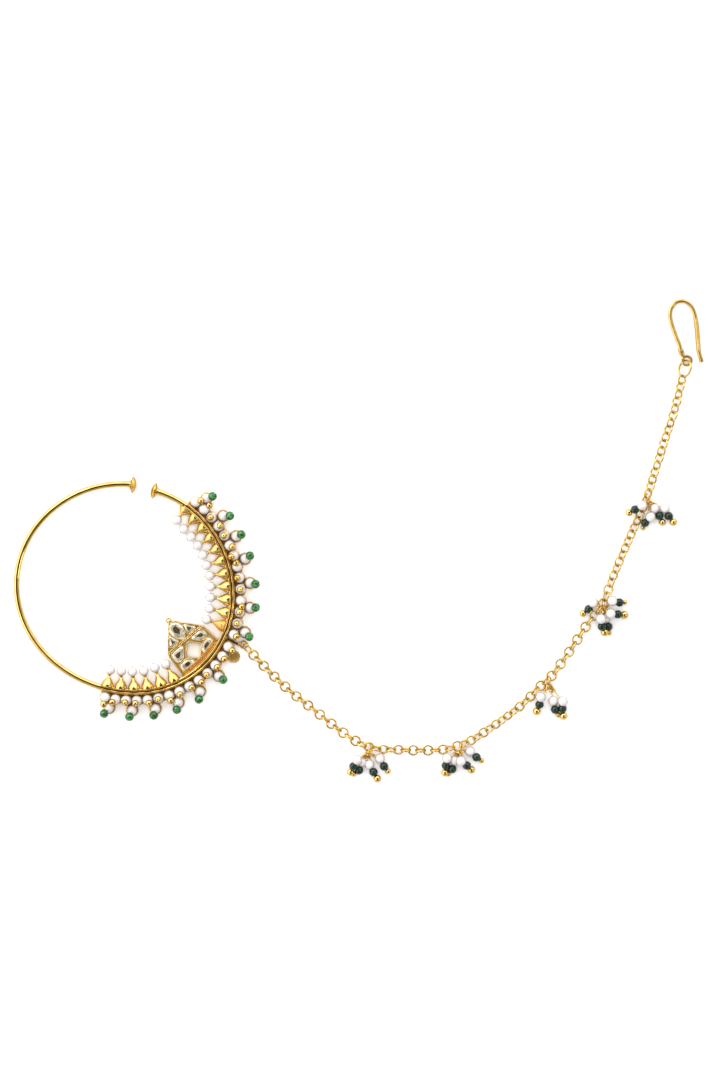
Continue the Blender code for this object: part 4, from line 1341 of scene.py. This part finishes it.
def build_stage():
    """The pale floor, the soft lights and the camera straight above."""
    bpy.ops.mesh.primitive_plane_add(size=4.0, location=(0.0, 0.0, 0.0))
    floor = bpy.context.object
    floor.name = "floor"
    paper = Finish("pale_floor")
    tooth = paper.noise(3.0 * MM, 3.0)
    white = paper.mix(tooth * 0.5, grey(0.93), grey(0.9))
    floor.data.materials.append(paper.surface(Base_Color=white, Roughness=0.9, Specular_IOR_Level=0.1))
    make_world()
    overhead = add_light("overhead_panel", (0.0, 0.0, 0.7), 0.5, 3.6)
    overhead.visible_glossy = False
    add_light("left_lamp", (-0.35, 0.4, 0.42), 0.2, 0.6)
    add_light("right_lamp", (0.45, -0.15, 0.4), 0.16, 0.35)
    camera = bpy.data.objects.new("camera", bpy.data.cameras.new("camera"))
    bpy.context.scene.collection.objects.link(camera)
    shift = (PHOTO_SIZE / 2 - PHOTO_CENTRE) * PHOTO_SCALE
    camera.location = (shift.x, -shift.y, CAMERA_HEIGHT)
    camera.data.sensor_width = 36.0
    camera.data.lens = 36.0 * (CAMERA_HEIGHT - HOOP_HEIGHT) / VIEW_HEIGHT
    camera.data.clip_start = 0.01
    bpy.context.scene.camera = camera
    bpy.context.scene.view_settings.view_transform = "Standard"


def make_world():
    """A pale surround, brighter at the upper left and dark overhead, where the camera stands."""
    world = bpy.data.worlds.new("studio")
    world.use_nodes = True
    bpy.context.scene.world = world
    sky = Nodes(world.node_tree)
    place = sky.node("ShaderNodeTexCoord", output="Generated")
    x, y, z = (sky.node("ShaderNodeSeparateXYZ", inputs={0: place}, output=axis) for axis in "XYZ")
    height = sky.ramp(
        z,
        (0.0, grey(0.6)),
        (0.3, grey(0.75)),
        (0.5, grey(1.0)),
        (0.79, grey(1.0)),
        (0.88, (0.1, 0.055, 0.02, 1.0)),
        (1.0, (0.05, 0.025, 0.01, 1.0)),
    )
    toward = y * 0.4 - x * 0.3 + 0.5
    side = sky.ramp(toward, (0.0, grey(0.12)), (0.4, grey(0.3)), (0.6, grey(1.0)), (1.0, grey(1.0)))
    settings = {"data_type": "RGBA", "blend_type": "MULTIPLY"}
    light = sky.node("ShaderNodeMix", settings, {0: 1.0, 6: height, 7: side}, 2)
    background = world.node_tree.nodes["Background"]
    connect(sky.tree, background.inputs["Color"], light)
    background.inputs["Strength"].default_value = 2.1


def add_light(name, place, size, power):
    """A square soft light aimed at the middle of the nath."""
    light = bpy.data.lights.new(name, "AREA")
    light.size = size
    light.energy = power
    item = bpy.data.objects.new(name, light)
    item.location = place
    item.rotation_euler = (-Vector(place)).to_track_quat("-Z", "Y").to_euler()
    bpy.context.scene.collection.objects.link(item)
    return item


def BORDER():
    return bpy.context.scene.nath_border


class NATH_OT_finishes(bpy.types.Operator):
    """Make the materials of the nath"""

    bl_idname = "nath.finishes"
    bl_label = "Finishes"

    def execute(self, context):
        make_finishes(context.scene.nath_colours)
        return {"FINISHED"}


class NATH_OT_hoop(bpy.types.Operator):
    """Bend the hoop's wire and add its band and end caps"""

    bl_idname = "nath.hoop"
    bl_label = "Hoop"

    def execute(self, context):
        build_hoop(context.scene.nath_hoop)
        return {"FINISHED"}


class NATH_OT_spikes(bpy.types.Operator):
    """Set the spikes and their pearls inside the hoop"""

    bl_idname = "nath.spikes"
    bl_label = "Spikes"

    def execute(self, context):
        build_spikes(context.scene.nath_hoop)
        return {"FINISHED"}


class NATH_OT_plaque(bpy.types.Operator):
    """Build the plaque's setting and set its stones"""

    bl_idname = "nath.plaque"
    bl_label = "Plaque"

    def execute(self, context):
        build_plaque(context.scene.nath_plaque)
        build_foot_strip(context.scene.nath_plaque)
        build_stones(context.scene.nath_plaque)
        return {"FINISHED"}


class NATH_OT_border(bpy.types.Operator):
    """Add the back plates, their pearls and the green beads"""

    bl_idname = "nath.border"
    bl_label = "Border"

    def execute(self, context):
        build_back_plates()
        build_border_pearls(context.scene.nath_border)
        build_green_beads(context.scene.nath_border)
        return {"FINISHED"}


class NATH_OT_chain(bpy.types.Operator):
    """Link the chain from its eyelet to the hook's ring"""

    bl_idname = "nath.chain"
    bl_label = "Chain"

    def execute(self, context):
        build_eyelet()
        build_chain(context.scene.nath_chain)
        return {"FINISHED"}


class NATH_OT_drops(bpy.types.Operator):
    """Hang the bead drops on the chain"""

    bl_idname = "nath.drops"
    bl_label = "Drops"

    def execute(self, context):
        build_drops(context.scene.nath_chain)
        return {"FINISHED"}


class NATH_OT_hook(bpy.types.Operator):
    """Bend the hair hook and close its jump ring"""

    bl_idname = "nath.hook"
    bl_label = "Hair hook"

    def execute(self, context):
        build_hook(context.scene.nath_chain)
        return {"FINISHED"}


class NATH_OT_stage(bpy.types.Operator):
    """Lay the floor and place the lights and the camera"""

    bl_idname = "nath.stage"
    bl_label = "Stage"

    def execute(self, context):
        build_stage()
        return {"FINISHED"}


OPERATORS = (
    NATH_OT_finishes,
    NATH_OT_hoop,
    NATH_OT_spikes,
    NATH_OT_plaque,
    NATH_OT_border,
    NATH_OT_chain,
    NATH_OT_drops,
    NATH_OT_hook,
    NATH_OT_stage,
)
SETTINGS = {
    "nath_hoop": NathHoopSettings,
    "nath_border": NathBorderSettings,
    "nath_plaque": NathPlaqueSettings,
    "nath_chain": NathChainSettings,
    "nath_colours": NathColours,
}


class NATH_PT_panel(bpy.types.Panel):
    bl_label = "Nath"
    bl_idname = "NATH_PT_panel"
    bl_space_type = "VIEW_3D"
    bl_region_type = "UI"
    bl_category = "Nath"

    def draw(self, context):
        for operator in OPERATORS:
            self.layout.operator(operator.bl_idname)
        for name, group in SETTINGS.items():
            box = self.layout.box()
            for size in group.__annotations__:
                box.prop(getattr(context.scene, name), size)


def register():
    for group in SETTINGS.values():
        bpy.utils.register_class(group)
    for name, group in SETTINGS.items():
        setattr(bpy.types.Scene, name, bpy.props.PointerProperty(type=group))
    for operator in OPERATORS:
        bpy.utils.register_class(operator)
    bpy.utils.register_class(NATH_PT_panel)


def unregister():
    bpy.utils.unregister_class(NATH_PT_panel)
    for operator in reversed(OPERATORS):
        bpy.utils.unregister_class(operator)
    for name, group in SETTINGS.items():
        delattr(bpy.types.Scene, name)
        bpy.utils.unregister_class(group)


def main():
    register()
    bpy.ops.nath.finishes()
    bpy.ops.nath.hoop()
    bpy.ops.nath.spikes()
    bpy.ops.nath.plaque()
    bpy.ops.nath.border()
    bpy.ops.nath.chain()
    bpy.ops.nath.drops()
    bpy.ops.nath.hook()
    bpy.ops.nath.stage()


if __name__ == "__main__":
    main()
